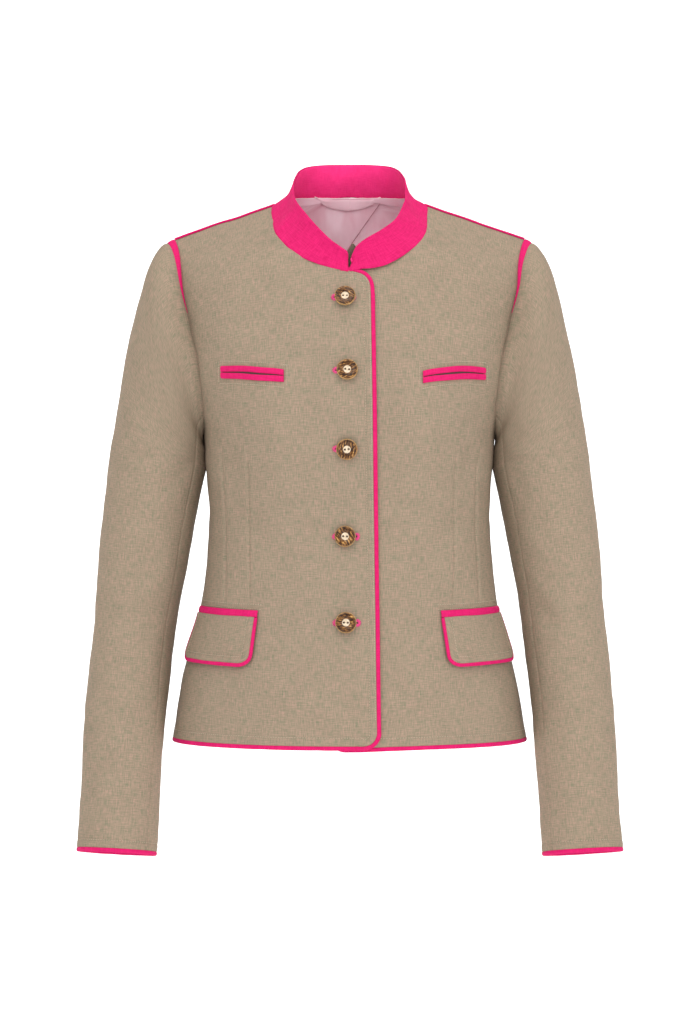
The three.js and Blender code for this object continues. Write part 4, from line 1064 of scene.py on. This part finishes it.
def neck_band():
    """The lining's top, carried up inside the collar so that its seam looks level from in front."""
    shares = np.linspace(0.64, 1, 70)
    tops = {}
    for side in ("left", "right"):
        tops[side] = solve(
            lambda up: seen_height(collar_point(side, shares, up)), np.full(70, BAND_TOP), 0.02, 0.9
        )
    top, top_out = both_halves(shares, tops, COLLAR["wall"] + 2.1)
    foot_out = along_neck(NECK_OUT, shares)
    foot = along_neck(NECKLINE, shares) - foot_out * (WALL + LINING["air"] + LINING["wall"] + 1.0)
    foot, foot_out = (
        np.concatenate([part, part[:-1][::-1] * [-1, 1, 1]])[:, None] for part in (foot, foot_out)
    )
    up = np.linspace(0, 1, 8)[None, :, None]
    points = foot + (top[:, None] - foot) * up
    out = unit(foot_out + (top_out[:, None] - foot_out) * up)
    wall("neck_band_satin", (points, out), 0.5, [lining], None)


# The sleeves
def section_point(t, angle):
    t, angle = np.broadcast_arrays(np.asarray(t, float), np.asarray(angle, float))
    at = {name: through(SLEEVE[name], t) for name in SLEEVE}
    a = np.radians(angle)
    across = (1 - np.cos(a)) / 2
    x = at["under_x"] + (at["crown_x"] - at["under_x"]) * across
    y = (at["front"] + at["back"]) / 2 - (at["back"] - at["front"]) / 2 * np.sin(a)
    z = at["under_z"] + (at["crown_z"] - at["under_z"]) * across + at["tilt"] * np.sin(a)
    return np.stack([x, y, z], -1)


def sleeve_point(t, angle):
    t, angle = np.broadcast_arrays(np.asarray(t, float), np.asarray(angle, float))
    own = armhole(angle) - section_point(np.zeros(t.shape), angle)
    left = np.clip(1 - t / SETTLE, 0, 1) ** 2
    return section_point(t, angle) + own * left[..., None]


def sleeve_out(t, angle):
    d = 0.02
    down = sleeve_point(np.minimum(t + d, CUFF), angle) - sleeve_point(np.maximum(t - d, 0), angle)
    around = sleeve_point(t, angle + 1) - sleeve_point(t, angle - 1)
    return unit(np.cross(down, around))


SLEEVE_STEP = np.array([60, 0.85])  # how long a section is and how wide a degree


def sleeve_folds(main, t, angle, p):
    """The sleeve's soft creases, a little different on each side."""
    world = p * [main, 1, 1] + [0, 7 if main < 0 else 0, 0]
    total = 0.5 * wobble(world * [1, 1, 0.55], 58, 51) + 0.18 * wobble(world, 26, 52)
    turned_angle = angle % 360
    beside = gauss(np.minimum(turned_angle, 360 - turned_angle) / 55) * (1 - smooth(t, 6.6, 8))
    for k, (start, end, width, height) in enumerate(SLEEVE_FOLDS):
        uneven = 1 + 0.25 * math.sin(2.1 * k + main)
        shift = 0.12 * math.sin(3 * k + 2 * main)
        total = total + uneven * along_fold(
            (t - shift) * SLEEVE_STEP[0], turned_angle * SLEEVE_STEP[1], start * SLEEVE_STEP,
            end * SLEEVE_STEP, width, height,
        )
    return total * smooth(t, 0.1, 2.5) * (1 - 0.85 * beside)


def edge_shift(main, angle):
    """How the body's creases move the armhole's edge."""
    row, s = edge_of(angle % 360)
    shift = []
    for part in ("front", "back"):
        p = body(part, row, s)
        shift.append(body_out(part, row, s) * folds(part, p * [main, 1, 1])[:, None])
    return np.where((angle % 360 <= 180)[:, None], shift[0], shift[1])


def on_sleeve(main, t, angle, height=0.0):
    t, angle = np.broadcast_arrays(np.asarray(t, float), np.asarray(angle, float))
    p = sleeve_point(t, angle)
    out = sleeve_out(t, angle)
    # The sleeve's inner side rests on the body below the underarm
    low = (angle + 180) % 360 - 180
    rest = 3.6 * gauss(low / 50) * smooth(t, 1.5, 4) * (1 - smooth(t, 6, 7.6))
    p = p - rest[..., None] * [1, 0, 0]
    ring = np.arange(0, 361, 3.0)
    shift = interpolated(angle % 360, ring, edge_shift(main, ring))
    p = p + shift * (1 - smooth(t, 0, 1.2))[..., None]
    crown = 1.9 * gauss((t - 1.0) / 0.7) * gauss((angle % 360 - 180) / 50)
    p = p - out * crown[..., None]
    return p + out * (np.asarray(height) + sleeve_folds(main, t, angle, p))[..., None], out


def section_at(angle, distance):
    angle = np.asarray(angle, float)
    start = sleeve_point(np.zeros(angle.shape), angle)
    return solve(lambda t: np.linalg.norm(sleeve_point(t, angle) - start, axis=-1), distance, 0, 2)


def insert_width(angle):
    away = np.abs(angle % 360 - 180) / 180
    return INSERT["width"] * np.maximum(1 - (away / INSERT["reach"]) ** 1.6, 0)


def sleeve_part(side, name, first, last, count):
    main = MAIN[side]
    inset = 0.25
    fine = np.array([0, 0.5, 1.1, 1.9, 3])
    middle = np.linspace(first + 4.2, last - 4.2, count)
    angles = np.concatenate([first + inset + fine, middle, last - inset - fine[::-1]])
    width = insert_width(angles)
    start = section_at(angles, 0.1 + np.where(width > 0, width + 0.1, 0))
    lead = np.concatenate([[0, 0.01, 0.025, 0.045, 0.07, 0.1], np.linspace(0.14, 1, 22)])
    tail = CUFF - np.array([11, 9.6, 8.6, 7.8, 7, 6.2, 5.2, 4, 2.8, 1.4, 0]) / CUFF_SECTION
    below = np.concatenate([np.linspace(2.1, 7, 50), np.linspace(7.04, 11.86, 108), tail])[:, None]
    t = np.concatenate([start + (2 - start) * lead[:, None], np.repeat(below, len(angles), 1)])
    angle = angles[None, :] + 0 * t
    points, out = on_sleeve(main, t, angle)
    down = lengths_from(points.swapaxes(0, 1)).T
    relief = edge_roll(down) * 0.5 + 0.5 * gauss((down - 7) / 5)
    across = np.minimum(lengths_from(points), lengths_from(points, forward=False))
    relief += edge_roll(across) * 0.45
    up = down[-1:] - down
    relief += groove(up - CUFF_STITCH, 0.9, 0.4) + 0.3 * gauss((up - 3.5) / 2.8)
    points = points + out * relief[..., None]
    placed = turned(main, (points, out))
    wall(f"{side}_{name}_sleeve_cloth", placed, SLEEVE_WALL, [linen, lining], f"{name}_sleeve_{side}")


def armhole_seam(side):
    """The seam allowance that closes the armhole's seam from behind."""
    main = MAIN[side]
    angles = np.arange(0, 360, 2.0)
    row, s = edge_of(angles)
    front = (angles <= 180)[:, None]
    out = np.where(front, body_out("front", row, s), body_out("back", row, s))
    out = unit(out + sleeve_out(0.02 + 0 * angles, angles))
    line = armhole(angles) + edge_shift(main, angles) - out * 1.8
    line, out = turned(main, (line, out))
    cord(f"{side}_armhole_seam_allowance", line, out, main, 0, 3.4, 2.2, [linen], None, ring=True)


def armhole_insert(side):
    main = MAIN[side]
    reach = 180 * INSERT["reach"] * 0.98
    angles = np.linspace(180 - reach, 180 + reach, 90)
    share = np.linspace(0, 1, 9)[:, None]
    t = np.stack([section_at(angles, 0.1 + insert_width(angles) * f) for f in share[:, 0]])
    puff = 0.5 * np.sin(math.pi * share) * np.clip(insert_width(angles) / 4, 0, 1)[None, :] - 0.2
    puff = puff + 0.9 * (1 - share) * gauss((angles - 180) / 25)[None, :]
    points, out = on_sleeve(main, t, angles[None, :] + 0 * t, puff)
    placed = turned(main, (points, out))
    wall(f"{side}_armhole_insert_cloth", placed, SLEEVE_WALL, [pink], f"armhole_insert_{side}",
         rim=0.1)


def cuff(side):
    main = MAIN[side]
    angles = np.linspace(0, 360, 120, endpoint=False)
    placed = turned(main, on_sleeve(main, np.full(120, float(CUFF)), angles, -SLEEVE_WALL / 2))
    piping(f"{side}_cuff_piping_cord", placed, main, f"cuff_piping_{side}", ring=True)
    around = np.linspace(0, 360, 121)
    t = np.full(121, CUFF - CUFF_STITCH / CUFF_SECTION)
    topstitch(f"{side}_cuff_stitches", turned(main, on_sleeve(main, t, around, -0.1)))


# Trim on the body
def shoulder_piping(side):
    main = MAIN[side]
    share = np.linspace(-0.03, 0.997, 60)
    low = neck_share("front", np.array([float(TOP)]))
    s = low + (1 - low) * share
    row = np.full(60, float(TOP))
    p = body("front", row, s)
    out = body_out("front", row, s)
    line = p + out * (folds("front", p * [main, 1, 1]) + 0.2)[:, None]
    cord(f"{side}_shoulder_piping_cord", line * [main, 1, 1], out * [main, 1, 1], main, 0, 2.8, 2.4, [pink],
         f"shoulder_piping_{side}", uneven=0.03)


def lap_line(side, inset=0.0, height=0.0, hem_inset=None):
    """A line inside a front's edge: down the lap, round its lower corner and along the hem to the side."""
    main = MAIN[side]
    hem = BODY["front_z"][0]
    inset_hem = inset if hem_inset is None else hem_inset
    z = np.linspace(LAP_TOP - LAP_CORNER - 0.5, hem + HEM_CORNER, 150)
    x = -np.maximum(lap_edge(side, z) - inset, 0.5)
    if side == "right":
        bend = math.pi / 2 * np.linspace(0.1, 0.995, 36) ** 1.3
        across, up = np.sin(bend) ** (2 / LAP_SQUARE), np.cos(bend) ** (2 / LAP_SQUARE)
        steep = np.stack([across, up], -1) ** (LAP_SQUARE - 1)
        way = unit(steep / [LAP_RIGHT["top"], LAP_CORNER])
        corner_x = inset * way[:, 0] - LAP_RIGHT["top"] * across
        corner_z = LAP_TOP - LAP_CORNER * (1 - up) - inset * way[:, 1]
        start_x = np.linspace(9 if inset == 0 else 0.5, corner_x[0] + 0.6, 8)
        start_z = corner_z[0] + 0.12 * np.maximum(start_x, 0)
        x = np.concatenate([start_x, corner_x, x])
        z = np.concatenate([start_z, corner_z, z])
    bend = np.radians(np.linspace(4, 90, 16))
    lap = LAP_RIGHT["hem"] if side == "right" else LAP_LEFT
    x = np.concatenate([x, -(lap - HEM_CORNER) - (HEM_CORNER - inset) * np.cos(bend)])
    z = np.concatenate([z, hem + HEM_CORNER - (HEM_CORNER - inset) * np.sin(bend)])
    row = np.interp(z, BODY_Z_FINE, ROW_FINE)
    s = share_at_x("front", row, x)
    start = share_at_x("front", np.array([0.0]), np.array([lap - HEM_CORNER]))[0]
    row = np.concatenate([row, np.full(130, inset_hem / HEM_ROW)])
    s = np.concatenate([s, np.linspace(-start + 0.002, 0.9992, 130)])
    points, out = skin_of(side, row, s, height)
    drop = hem_drop(side, row, points[..., 0])
    points = points - drop[:, None] * [0, 0, 1]
    return turned(main, (points, out))


ROW_FINE = np.linspace(0, NECK_ROW["front"], 2000)
BODY_Z_FINE = through(BODY["front_z"], ROW_FINE)


def front_trim(side):
    piping(f"{side}_front_piping_cord", lap_line(side, 0.0, -WALL / 2), MAIN[side], f"front_piping_{side}")
    topstitch(f"{side}_front_stitches", lap_line(side, EDGE_STITCH, -0.1, hem_inset=HEM_STITCH))
    if side == "right":
        line, out = lap_line(side, 1.0, 0.15, hem_inset=1.0)
        topstitch("right_front_edge_stitches", (line[:190], out[:190]), pitch=2.4, seed=4)


def back_hem():
    half = np.linspace(0.0008, 0.9992, 130)
    s = np.concatenate([-half[::-1], half])
    placed = {}
    for row, height in ((0.0, -WALL / 2), (HEM_STITCH / HEM_ROW, -0.1)):
        rows = np.full(s.shape, row)
        p, out = on_back(rows, s)
        placed[row] = (p + out * (height + folds("back", p))[:, None], out)
    piping("back_hem_piping_cord", placed[0.0], -1, "hem_piping_back")
    topstitch("back_hem_stitches", placed[HEM_STITCH / HEM_ROW])


def chest_curve(side, share):
    own = CHEST_WELT[side]
    x = own["inner"] + (own["outer"] - own["inner"]) * share
    z = own["z"] + CHEST_WELT["tilt"] * (share - 0.5) + own["arch"] * 4 * share * (1 - share)
    return x, z


def chest_pocket(side):
    """Two welts lip to lip, the slit of painted shadow between them and the sewn frame round them."""
    tall, thick, gap = CHEST_WELT["tall"], CHEST_WELT["thick"], CHEST_WELT["gap"]
    share = np.linspace(0, 1, 50)[None, :]
    x, z = chest_curve(side, share)
    for name, way in (("upper", 1), ("lower", -1)):
        up = np.linspace(0, 1, 9)[:, None]
        slack = 0.3 + gap * np.sqrt(np.sin(math.pi * share)) * (0.75 + 0.22 * np.sin(9 * share + 2 * way))
        height = SEAM + thick + 0.7 * np.sin(math.pi * up) ** 0.7 + 0 * share - 0.3
        placed = on_front(side, x + 0 * up, z + way * (slack + tall * up), height)
        node = f"chest_welt_{name}_{side}"
        wall(f"{side}_chest_{name}_welt_cloth", placed, thick, [pink], node, rim=0.15)
    up = np.linspace(-1, 1, 5)[:, None]
    x, z = chest_curve(side, share * 0.96 + 0.02)
    slit = on_front(side, x + 0 * up, z + up * 2.0, 0.5)
    # The slit is a dark sheet of painted shadow
    wall(f"{side}_chest_pocket_slit", slit, 0.3, [pocket_painted_shadow], None)
    own = CHEST_WELT[side]
    frame_share = np.linspace(0, 1, 40)
    ends = 3.0 / (own["outer"] - own["inner"])
    out_share = -ends + (1 + 2 * ends) * frame_share
    x, z = chest_curve(side, out_share)
    off = tall + 5.6
    side_run = np.linspace(-1, 1, 14)
    ring_x = np.concatenate([x, np.full(14, x[-1]), x[::-1], np.full(14, x[0])])
    ring_z = np.concatenate([z + off, z[-1] - side_run * off, z[::-1] - off, z[0] + side_run * off])
    topstitch(f"{side}_chest_pocket_stitches", on_front(side, ring_x, ring_z, 0.1), pitch=2.3, seed=6)


def flap_place(side, share, down, height):
    share, down = np.broadcast_arrays(np.asarray(share, float), np.asarray(down, float))
    z = FLAP["top"] + FLAP["slant"] * share - down
    row = solve(lambda r: through(BODY["side_z"], r), z, 0, UNDERARM)
    inner = share_at_x("front", row, FLAP["inner"] + FLAP["lean"] * down + np.where(down > -0.45, 2.4, 0))
    s = inner + (FLAP["outer_share"] - inner) * share
    return turned(MAIN[side], skin_of(side, row, s, height))


def flap_stand(share, down):
    return FLAP["air"] + FLAP["stand"] * (0.6 + 0.4 * share) * np.maximum(down, 0) / FLAP["tall"]


def flap_depth(share):
    from_edge = np.minimum(share, 1 - share) * FLAP["wide"]
    corner = np.minimum(from_edge / FLAP["corner"], 1)
    return FLAP["tall"] - FLAP["corner"] * 0.8 * (1 - np.sqrt(1 - (1 - corner) ** 2))


def flap(side):
    main = MAIN[side]
    near = np.array([0, 0.005, 0.012, 0.02, 0.03, 0.04, 0.05, 0.062, 0.075, 0.09])
    shares = np.concatenate([near, np.linspace(0.11, 0.89, 44), 1 - near[::-1]])[None, :]
    falls = np.concatenate([np.linspace(0, 0.8, 20), [0.83, 0.855, 0.875, 0.895, 0.92, 0.95, 0.98, 1]])
    down = falls[:, None] * flap_depth(shares)
    puff = 0.35 * wobble(np.stack([shares * 108 + 0 * down, down, 0 * down + main * 40], -1), 40, 61)
    from_low = flap_depth(shares) - down
    edge = np.minimum(np.minimum(shares, 1 - shares) * FLAP["wide"], from_low)
    relief = groove(edge - FLAP["stitch"], 0.9, 0.35) + 0.3 * gauss((edge - 3) / 2.4)
    height = flap_stand(shares, down) + FLAP["wall"] + puff + relief
    placed = flap_place(side, shares, down, height)
    wall(f"{side}_flap_cloth", placed, FLAP["wall"], [linen, lining], f"flap_{side}", rim=0.4)
    side_run = np.linspace(0, 1, 30)
    low_share = np.linspace(0, 1, 140)[1:-1]
    share = np.concatenate([np.zeros(30), low_share, np.ones(30)])
    down = np.concatenate([side_run * flap_depth(0), flap_depth(low_share), side_run[::-1] * flap_depth(1.0)])
    line, out = flap_place(side, share, down, flap_stand(share, down) + FLAP["wall"] / 2)
    cord(f"{side}_flap_piping_cord", line, out, main, FLAP["piping"] / 2 + 0.1, FLAP["piping"], 2.6, [pink],
         f"flap_piping_{side}", uneven=0.02)
    inset = FLAP["stitch"] / FLAP["wide"]
    share = np.concatenate([np.full(20, inset), np.linspace(inset, 1 - inset, 100), np.full(20, 1 - inset)])
    run = np.linspace(0, 1, 20)
    deep = flap_depth(share) - FLAP["stitch"]
    down = np.concatenate([run * deep[0], deep[20:120], run[::-1] * deep[-1]])
    height = flap_stand(share, down) + FLAP["wall"] + 0.2
    topstitch(f"{side}_flap_stitches", flap_place(side, share, down, height), seed=8)
    up = np.linspace(0, 1, 9)[:, None]
    across = np.linspace(0, 1, 60)[None, :]
    height = FLAP["air"] + FLAP["welt_wall"] + 0.7 * np.sin(math.pi * up) ** 0.7 - 0.2
    placed = flap_place(side, across, -0.5 - FLAP["welt"] * up, height)
    wall(f"{side}_flap_welt_cloth", placed, FLAP["welt_wall"], [pink], f"flap_welt_{side}",
         rim=0.35)
    across = np.linspace(-0.03, 1.0, 70)
    for name, up in (("upper", 13.0), ("lower", 8.4)):
        placed = flap_place(side, across, np.full(70, -up), 0.1)
        topstitch(f"{side}_welt_{name}_stitches", placed, seed=9)


# Buttons, buttonholes, loop and facing
def button(k):
    x, z = BUTTON_PLACES[k]
    (centre,), (facing,) = on_front("right", np.array([-x]), np.array([z]), 0.6)
    radius, thick, core, shank = BUTTON["radius"], BUTTON["thick"], BUTTON["core"], BUTTON["shank"]
    face = shank + thick
    profile = [
        (0.0, shank), (radius - 2.6, shank), (radius - 1.2, shank + 0.4),
        (radius - 0.35, shank + 1.2), (radius, shank + 2.0), (radius - 0.15, face - 1.3),
        (radius - 0.7, face - 0.5), (radius - 1.6, face - 0.1), (radius - 2.4, face),
        (radius - 3.6, face - 0.15), (core + 1.2, face - 0.4), (core + 0.5, face - 0.7),
        (core, face - 1.0), (core - 0.7, face - 1.15), (1.5, face - 1.2), (0.0, face - 1.2),
    ]
    sides = 56
    points, faces = [], []
    for r, h in profile:
        count = 1 if r == 0 else sides
        for j in range(count):
            a = 2 * math.pi * j / sides
            points.append((r * math.cos(a), r * math.sin(a), h))
    starts = np.concatenate([[0], np.cumsum([1 if r == 0 else sides for r, _ in profile])])
    for i in range(len(profile) - 1):
        a, b = int(starts[i]), int(starts[i + 1])
        for j in range(sides):
            m = (j + 1) % sides
            if profile[i][0] == 0:
                faces.append([a, b + m, b + j])
            elif profile[i + 1][0] == 0:
                faces.append([a + j, a + m, b])
            else:
                faces.append([a + j, a + m, b + m, b + j])
    disc = new_object("disc", points, faces)
    drills = []
    for way in (-1, 1):
        drill_points, drill_faces = [], []
        for h in (shank - 1, face + 1):
            for j in range(20):
                a = 2 * math.pi * j / 20
                drill_points.append((way * BUTTON["hole_apart"] / 2 + BUTTON["hole"] * math.cos(a),
                                     BUTTON["hole"] * math.sin(a), h))
        for j in range(20):
            m = (j + 1) % 20
            drill_faces.append([j, m, 20 + m, 20 + j])
        drill_faces.append(list(range(20))[::-1])
        drill_faces.append(list(range(20, 40)))
        drill = new_object("drill", drill_points, drill_faces)
        cut = disc.modifiers.new("hole", "BOOLEAN")
        cut.operation = "DIFFERENCE"
        cut.solver = "EXACT"
        cut.object = drill
        drills.append(drill)
    bpy.context.view_layer.update()
    shaped = bpy.data.meshes.new_from_object(disc.evaluated_get(bpy.context.evaluated_depsgraph_get()))
    local = np.array([v.co[:] for v in shaped.vertices])
    polygons = [list(f.vertices) for f in shaped.polygons]
    for o in (*drills, disc):
        mesh = o.data
        bpy.data.objects.remove(o)
        bpy.data.meshes.remove(mesh)
    bpy.data.meshes.remove(shaped)
    # Local z is the way the button faces, local x lies level, turned a little on each button.
    level = unit(np.cross(facing, [0, 0, 1]))
    upright = np.cross(level, facing)
    tilt = 0.12 * math.sin(4 * k)
    across = -level * math.cos(tilt) + upright * math.sin(tilt)
    rise = np.cross(facing, across)
    world = centre + local[:, :1] * across + local[:, 1:2] * rise + local[:, 2:] * facing
    name = f"button_{k + 1}"
    piece = finish_mesh(f"{name}_horn", world, polygons, local[:, :2], [horn], None, name, hard=40)
    grain = piece.data.uv_layers.new(name="grain")
    index = np.empty(len(piece.data.loops), int)
    piece.data.loops.foreach_get("vertex_index", index)
    turn = 1.1 + 0.9 * k
    spun = local[:, :2] @ np.array([[math.cos(turn), -math.sin(turn)], [math.sin(turn), math.cos(turn)]])
    grain.data.foreach_set("uv", ((spun + [31 * k, 17 * k])[index] * MM).ravel())
    # Thread round the shank
    turns = np.linspace(0, 2 * math.pi, 40, endpoint=False)
    centres = centre + facing * (0.2 + 1.2 * ((np.arange(40) % 4) / 3))[:, None]
    centres = centres + 1.6 * (np.cos(turns)[:, None] * across + np.sin(turns)[:, None] * rise)
    ways = -np.sin(turns)[:, None] * across + np.cos(turns)[:, None] * rise
    outs = np.cos(turns)[:, None] * across + np.sin(turns)[:, None] * rise
    threads(f"button_{k + 1}_thread", centres, ways, outs, 1.6, 0.35, linen_thread, seed=k)


def buttonhole(k):
    """Close bars of pink thread round a slit of painted shadow with an eyelet towards the front's edge."""
    z0 = BUTTON_PLACES[k][1]
    left, right = BUTTONHOLES[k]
    reach = 3.0  # how long the bars are
    half = 0.5
    first, last = left + reach + half, right - reach - half - 0.6
    straight = np.arange(first, last, 0.66)
    ring = []
    for x in straight:
        ring.append((x, half, 0, 1))
    for a in np.radians(np.linspace(80, -80, 11)):
        ring.append((last + 1.1 * math.cos(a), 1.1 * math.sin(a), math.cos(a), math.sin(a)))
    for x in straight[::-1]:
        ring.append((x, -half, 0, -1))
    for a in np.radians(np.linspace(-80, -280, 9)):
        ring.append((first + half * math.cos(a), half * math.sin(a), math.cos(a), math.sin(a)))
    ring = np.array(ring)
    rng = np.random.default_rng(70 + k)
    long = reach * rng.uniform(0.9, 1.06, len(ring))
    start = ring[:, :2] - ring[:, 2:] * 0.1
    end = ring[:, :2] + ring[:, 2:] * long[:, None]
    a, out = on_front("right", -start[:, 0], z0 + start[:, 1], 0.25)
    b, _ = on_front("right", -end[:, 0], z0 + end[:, 1], 0.25)
    bars = np.linalg.norm(b - a, axis=-1)
    threads(f"buttonhole_{k + 1}_stitches", (a + b) / 2, b - a, out, bars, 0.42, pink_thread,
            seed=80 + k)
    x = np.linspace(first - 0.3, last + 0.9, 26)[None, :]
    ends = np.clip(np.minimum(x - first + 0.35, last + 1 - x) * 1.4, 0.02, 1)
    wide = np.where(x > last - 0.6, 1.05, 0.55) * np.sqrt(ends)
    up = np.linspace(-1, 1, 5)[:, None]
    slit = on_front("right", -(x + 0 * up), z0 + up * wide, 0.32 + 0 * up * x)
    # The slit is a dark sheet of painted shadow
    wall(f"buttonhole_{k + 1}_slit", slit, 0.25, [pocket_painted_shadow], None)


def hanger_loop():
    share = np.linspace(0, 1, 60)
    x = LOOP["right"] + (LOOP["left"] - LOOP["right"]) * share
    hang = 4 * share * (1 - share)
    z = LOOP["z"] - LOOP["sag"] * hang
    row = back_row(x, z, 8)
    away = WALL + 0.4 + 4.4 * smooth(hang, 0.05, 0.5)
    p, out = on_back(row, share_at_x("back", row, x))
    line = p - out * away[:, None]
    wide = LOOP["thin"] + LOOP["wide"] * hang
    # The tape's lighter satin is painted light
    cord("hanger_loop_tape", line, -out, 1, 0, wide, LOOP["thick"], [loop_satin_painted_light], "hanger_loop")


FACING_ROWS = [
    (-92, -82.9, -8, 11), (-80, -78, -8, 11), (-70, -74.9, -7.5, 10), (-58, -74.2, -5, 9), (-51, -74, 0.6, 7),
    (-47, -74, 2.4, 3.8),
]


def neck_facing():
    """The corner of the left front's facing that shows in the gap between the collar's ends, in a darker copy
    of the linen that paints its shade.
    """
    at = np.linspace(0, len(FACING_ROWS) - 1, 40)
    z, y, right, left = (np.interp(at, range(len(FACING_ROWS)), [r[k] for r in FACING_ROWS]) for k in range(4))
    share = np.linspace(0, 1, 14)[None, :]
    x = right[:, None] + (left - right)[:, None] * share
    points = np.stack([x, y[:, None] + 0.5 * np.sin(x / 5), z[:, None] + 0 * x], -1)
    out = np.broadcast_to(np.array([0.0, -1.0, 0.0]), points.shape)
    # The facing's darker linen is painted shade
    wall("neck_facing_cloth", (points, out), 1.2, [linen_shaded], "neck_facing")


for side in ("right", "left"):
    front_panel(side)
    back_panel(side)
    sleeve_part(side, "upper", SLEEVE_SEAMS["front"], SLEEVE_SEAMS["back"], 96)
    sleeve_part(side, "under", SLEEVE_SEAMS["back"], SLEEVE_SEAMS["front"] + 360, 34)
    armhole_insert(side)
    armhole_seam(side)
    cuff(side)
    shoulder_piping(side)
    front_trim(side)
    chest_pocket(side)
    flap(side)
back_lining()
collar()
neck_band()
back_hem()
for k in range(len(BUTTON_PLACES)):
    button(k)
    buttonhole(k)
hanger_loop()
neck_facing()

# The studio: a pale floor that curves up behind, wide soft lights and the camera
FLOOR_Z = -0.92
SWEEP = 0.9
WALL_Y = 3.3  # behind a camera that looks at the jacket's back


def studio():
    profile = [(-4.0, FLOOR_Z), (WALL_Y, FLOOR_Z)]
    for a in np.radians(np.linspace(0, 90, 14)):
        profile.append((WALL_Y + SWEEP * math.sin(a), FLOOR_Z + SWEEP * (1 - math.cos(a))))
    profile.append((WALL_Y + SWEEP, 3.4))
    points = [(x, y, z) for y, z in profile for x in (-5.0, 5.0)]
    faces = [[2 * i, 2 * i + 1, 2 * i + 3, 2 * i + 2] for i in range(len(profile) - 1)]
    mesh = bpy.data.meshes.new("studio_floor")
    mesh.from_pydata(points, [], faces)
    mesh.polygons.foreach_set("use_smooth", np.ones(len(faces), bool))
    material, tree, shader = nodes_of("pale_floor")
    set_inputs(shader, Base_Color=(0.93, 0.93, 0.93, 1), Roughness=0.9, Specular_IOR_Level=0.1)
    set_inputs(shader, Emission_Color=(1, 1, 1, 1), Emission_Strength=0.45)
    mesh.materials.append(material)
    floor = bpy.data.objects.new("studio_floor", mesh)
    bpy.context.collection.objects.link(floor)


def soft_light(name, place, size, power, target=(0, 0, -0.3)):
    light = bpy.data.lights.new(name, "AREA")
    light.shape = "RECTANGLE"
    light.size = size
    light.size_y = size
    light.energy = power
    lamp = bpy.data.objects.new(name, light)
    lamp.location = place
    way = np.array(target) - np.array(place)
    lamp.rotation_euler = mathutils.Vector(way).to_track_quat("-Z", "Y").to_euler()
    bpy.context.collection.objects.link(lamp)


studio()
soft_light("key", (-1.3, -2.6, 1.5), 2.2, 36)
soft_light("fill", (2.1, -2.3, 0.9), 2.4, 36)
soft_light("back_wash", (0, -0.6, 2.9), 3.0, 60, target=(0, 1.6, -0.2))
world = bpy.data.worlds.new("studio_world")
world.use_nodes = True
set_inputs(world.node_tree.nodes["Background"], Color=(1, 1, 1, 1), Strength=0.7)
bpy.context.scene.world = world
bpy.context.scene.view_settings.view_transform = "Standard"

camera_data = bpy.data.cameras.new("camera")
camera_data.sensor_width = 36
camera_data.lens = 90.87
camera = bpy.data.objects.new("camera", camera_data)
camera.location = [a * MM for a in EYE]
camera.rotation_euler = (math.pi / 2, 0, 0)
bpy.context.collection.objects.link(camera)
bpy.context.scene.camera = camera

bpy.context.view_layer.update()
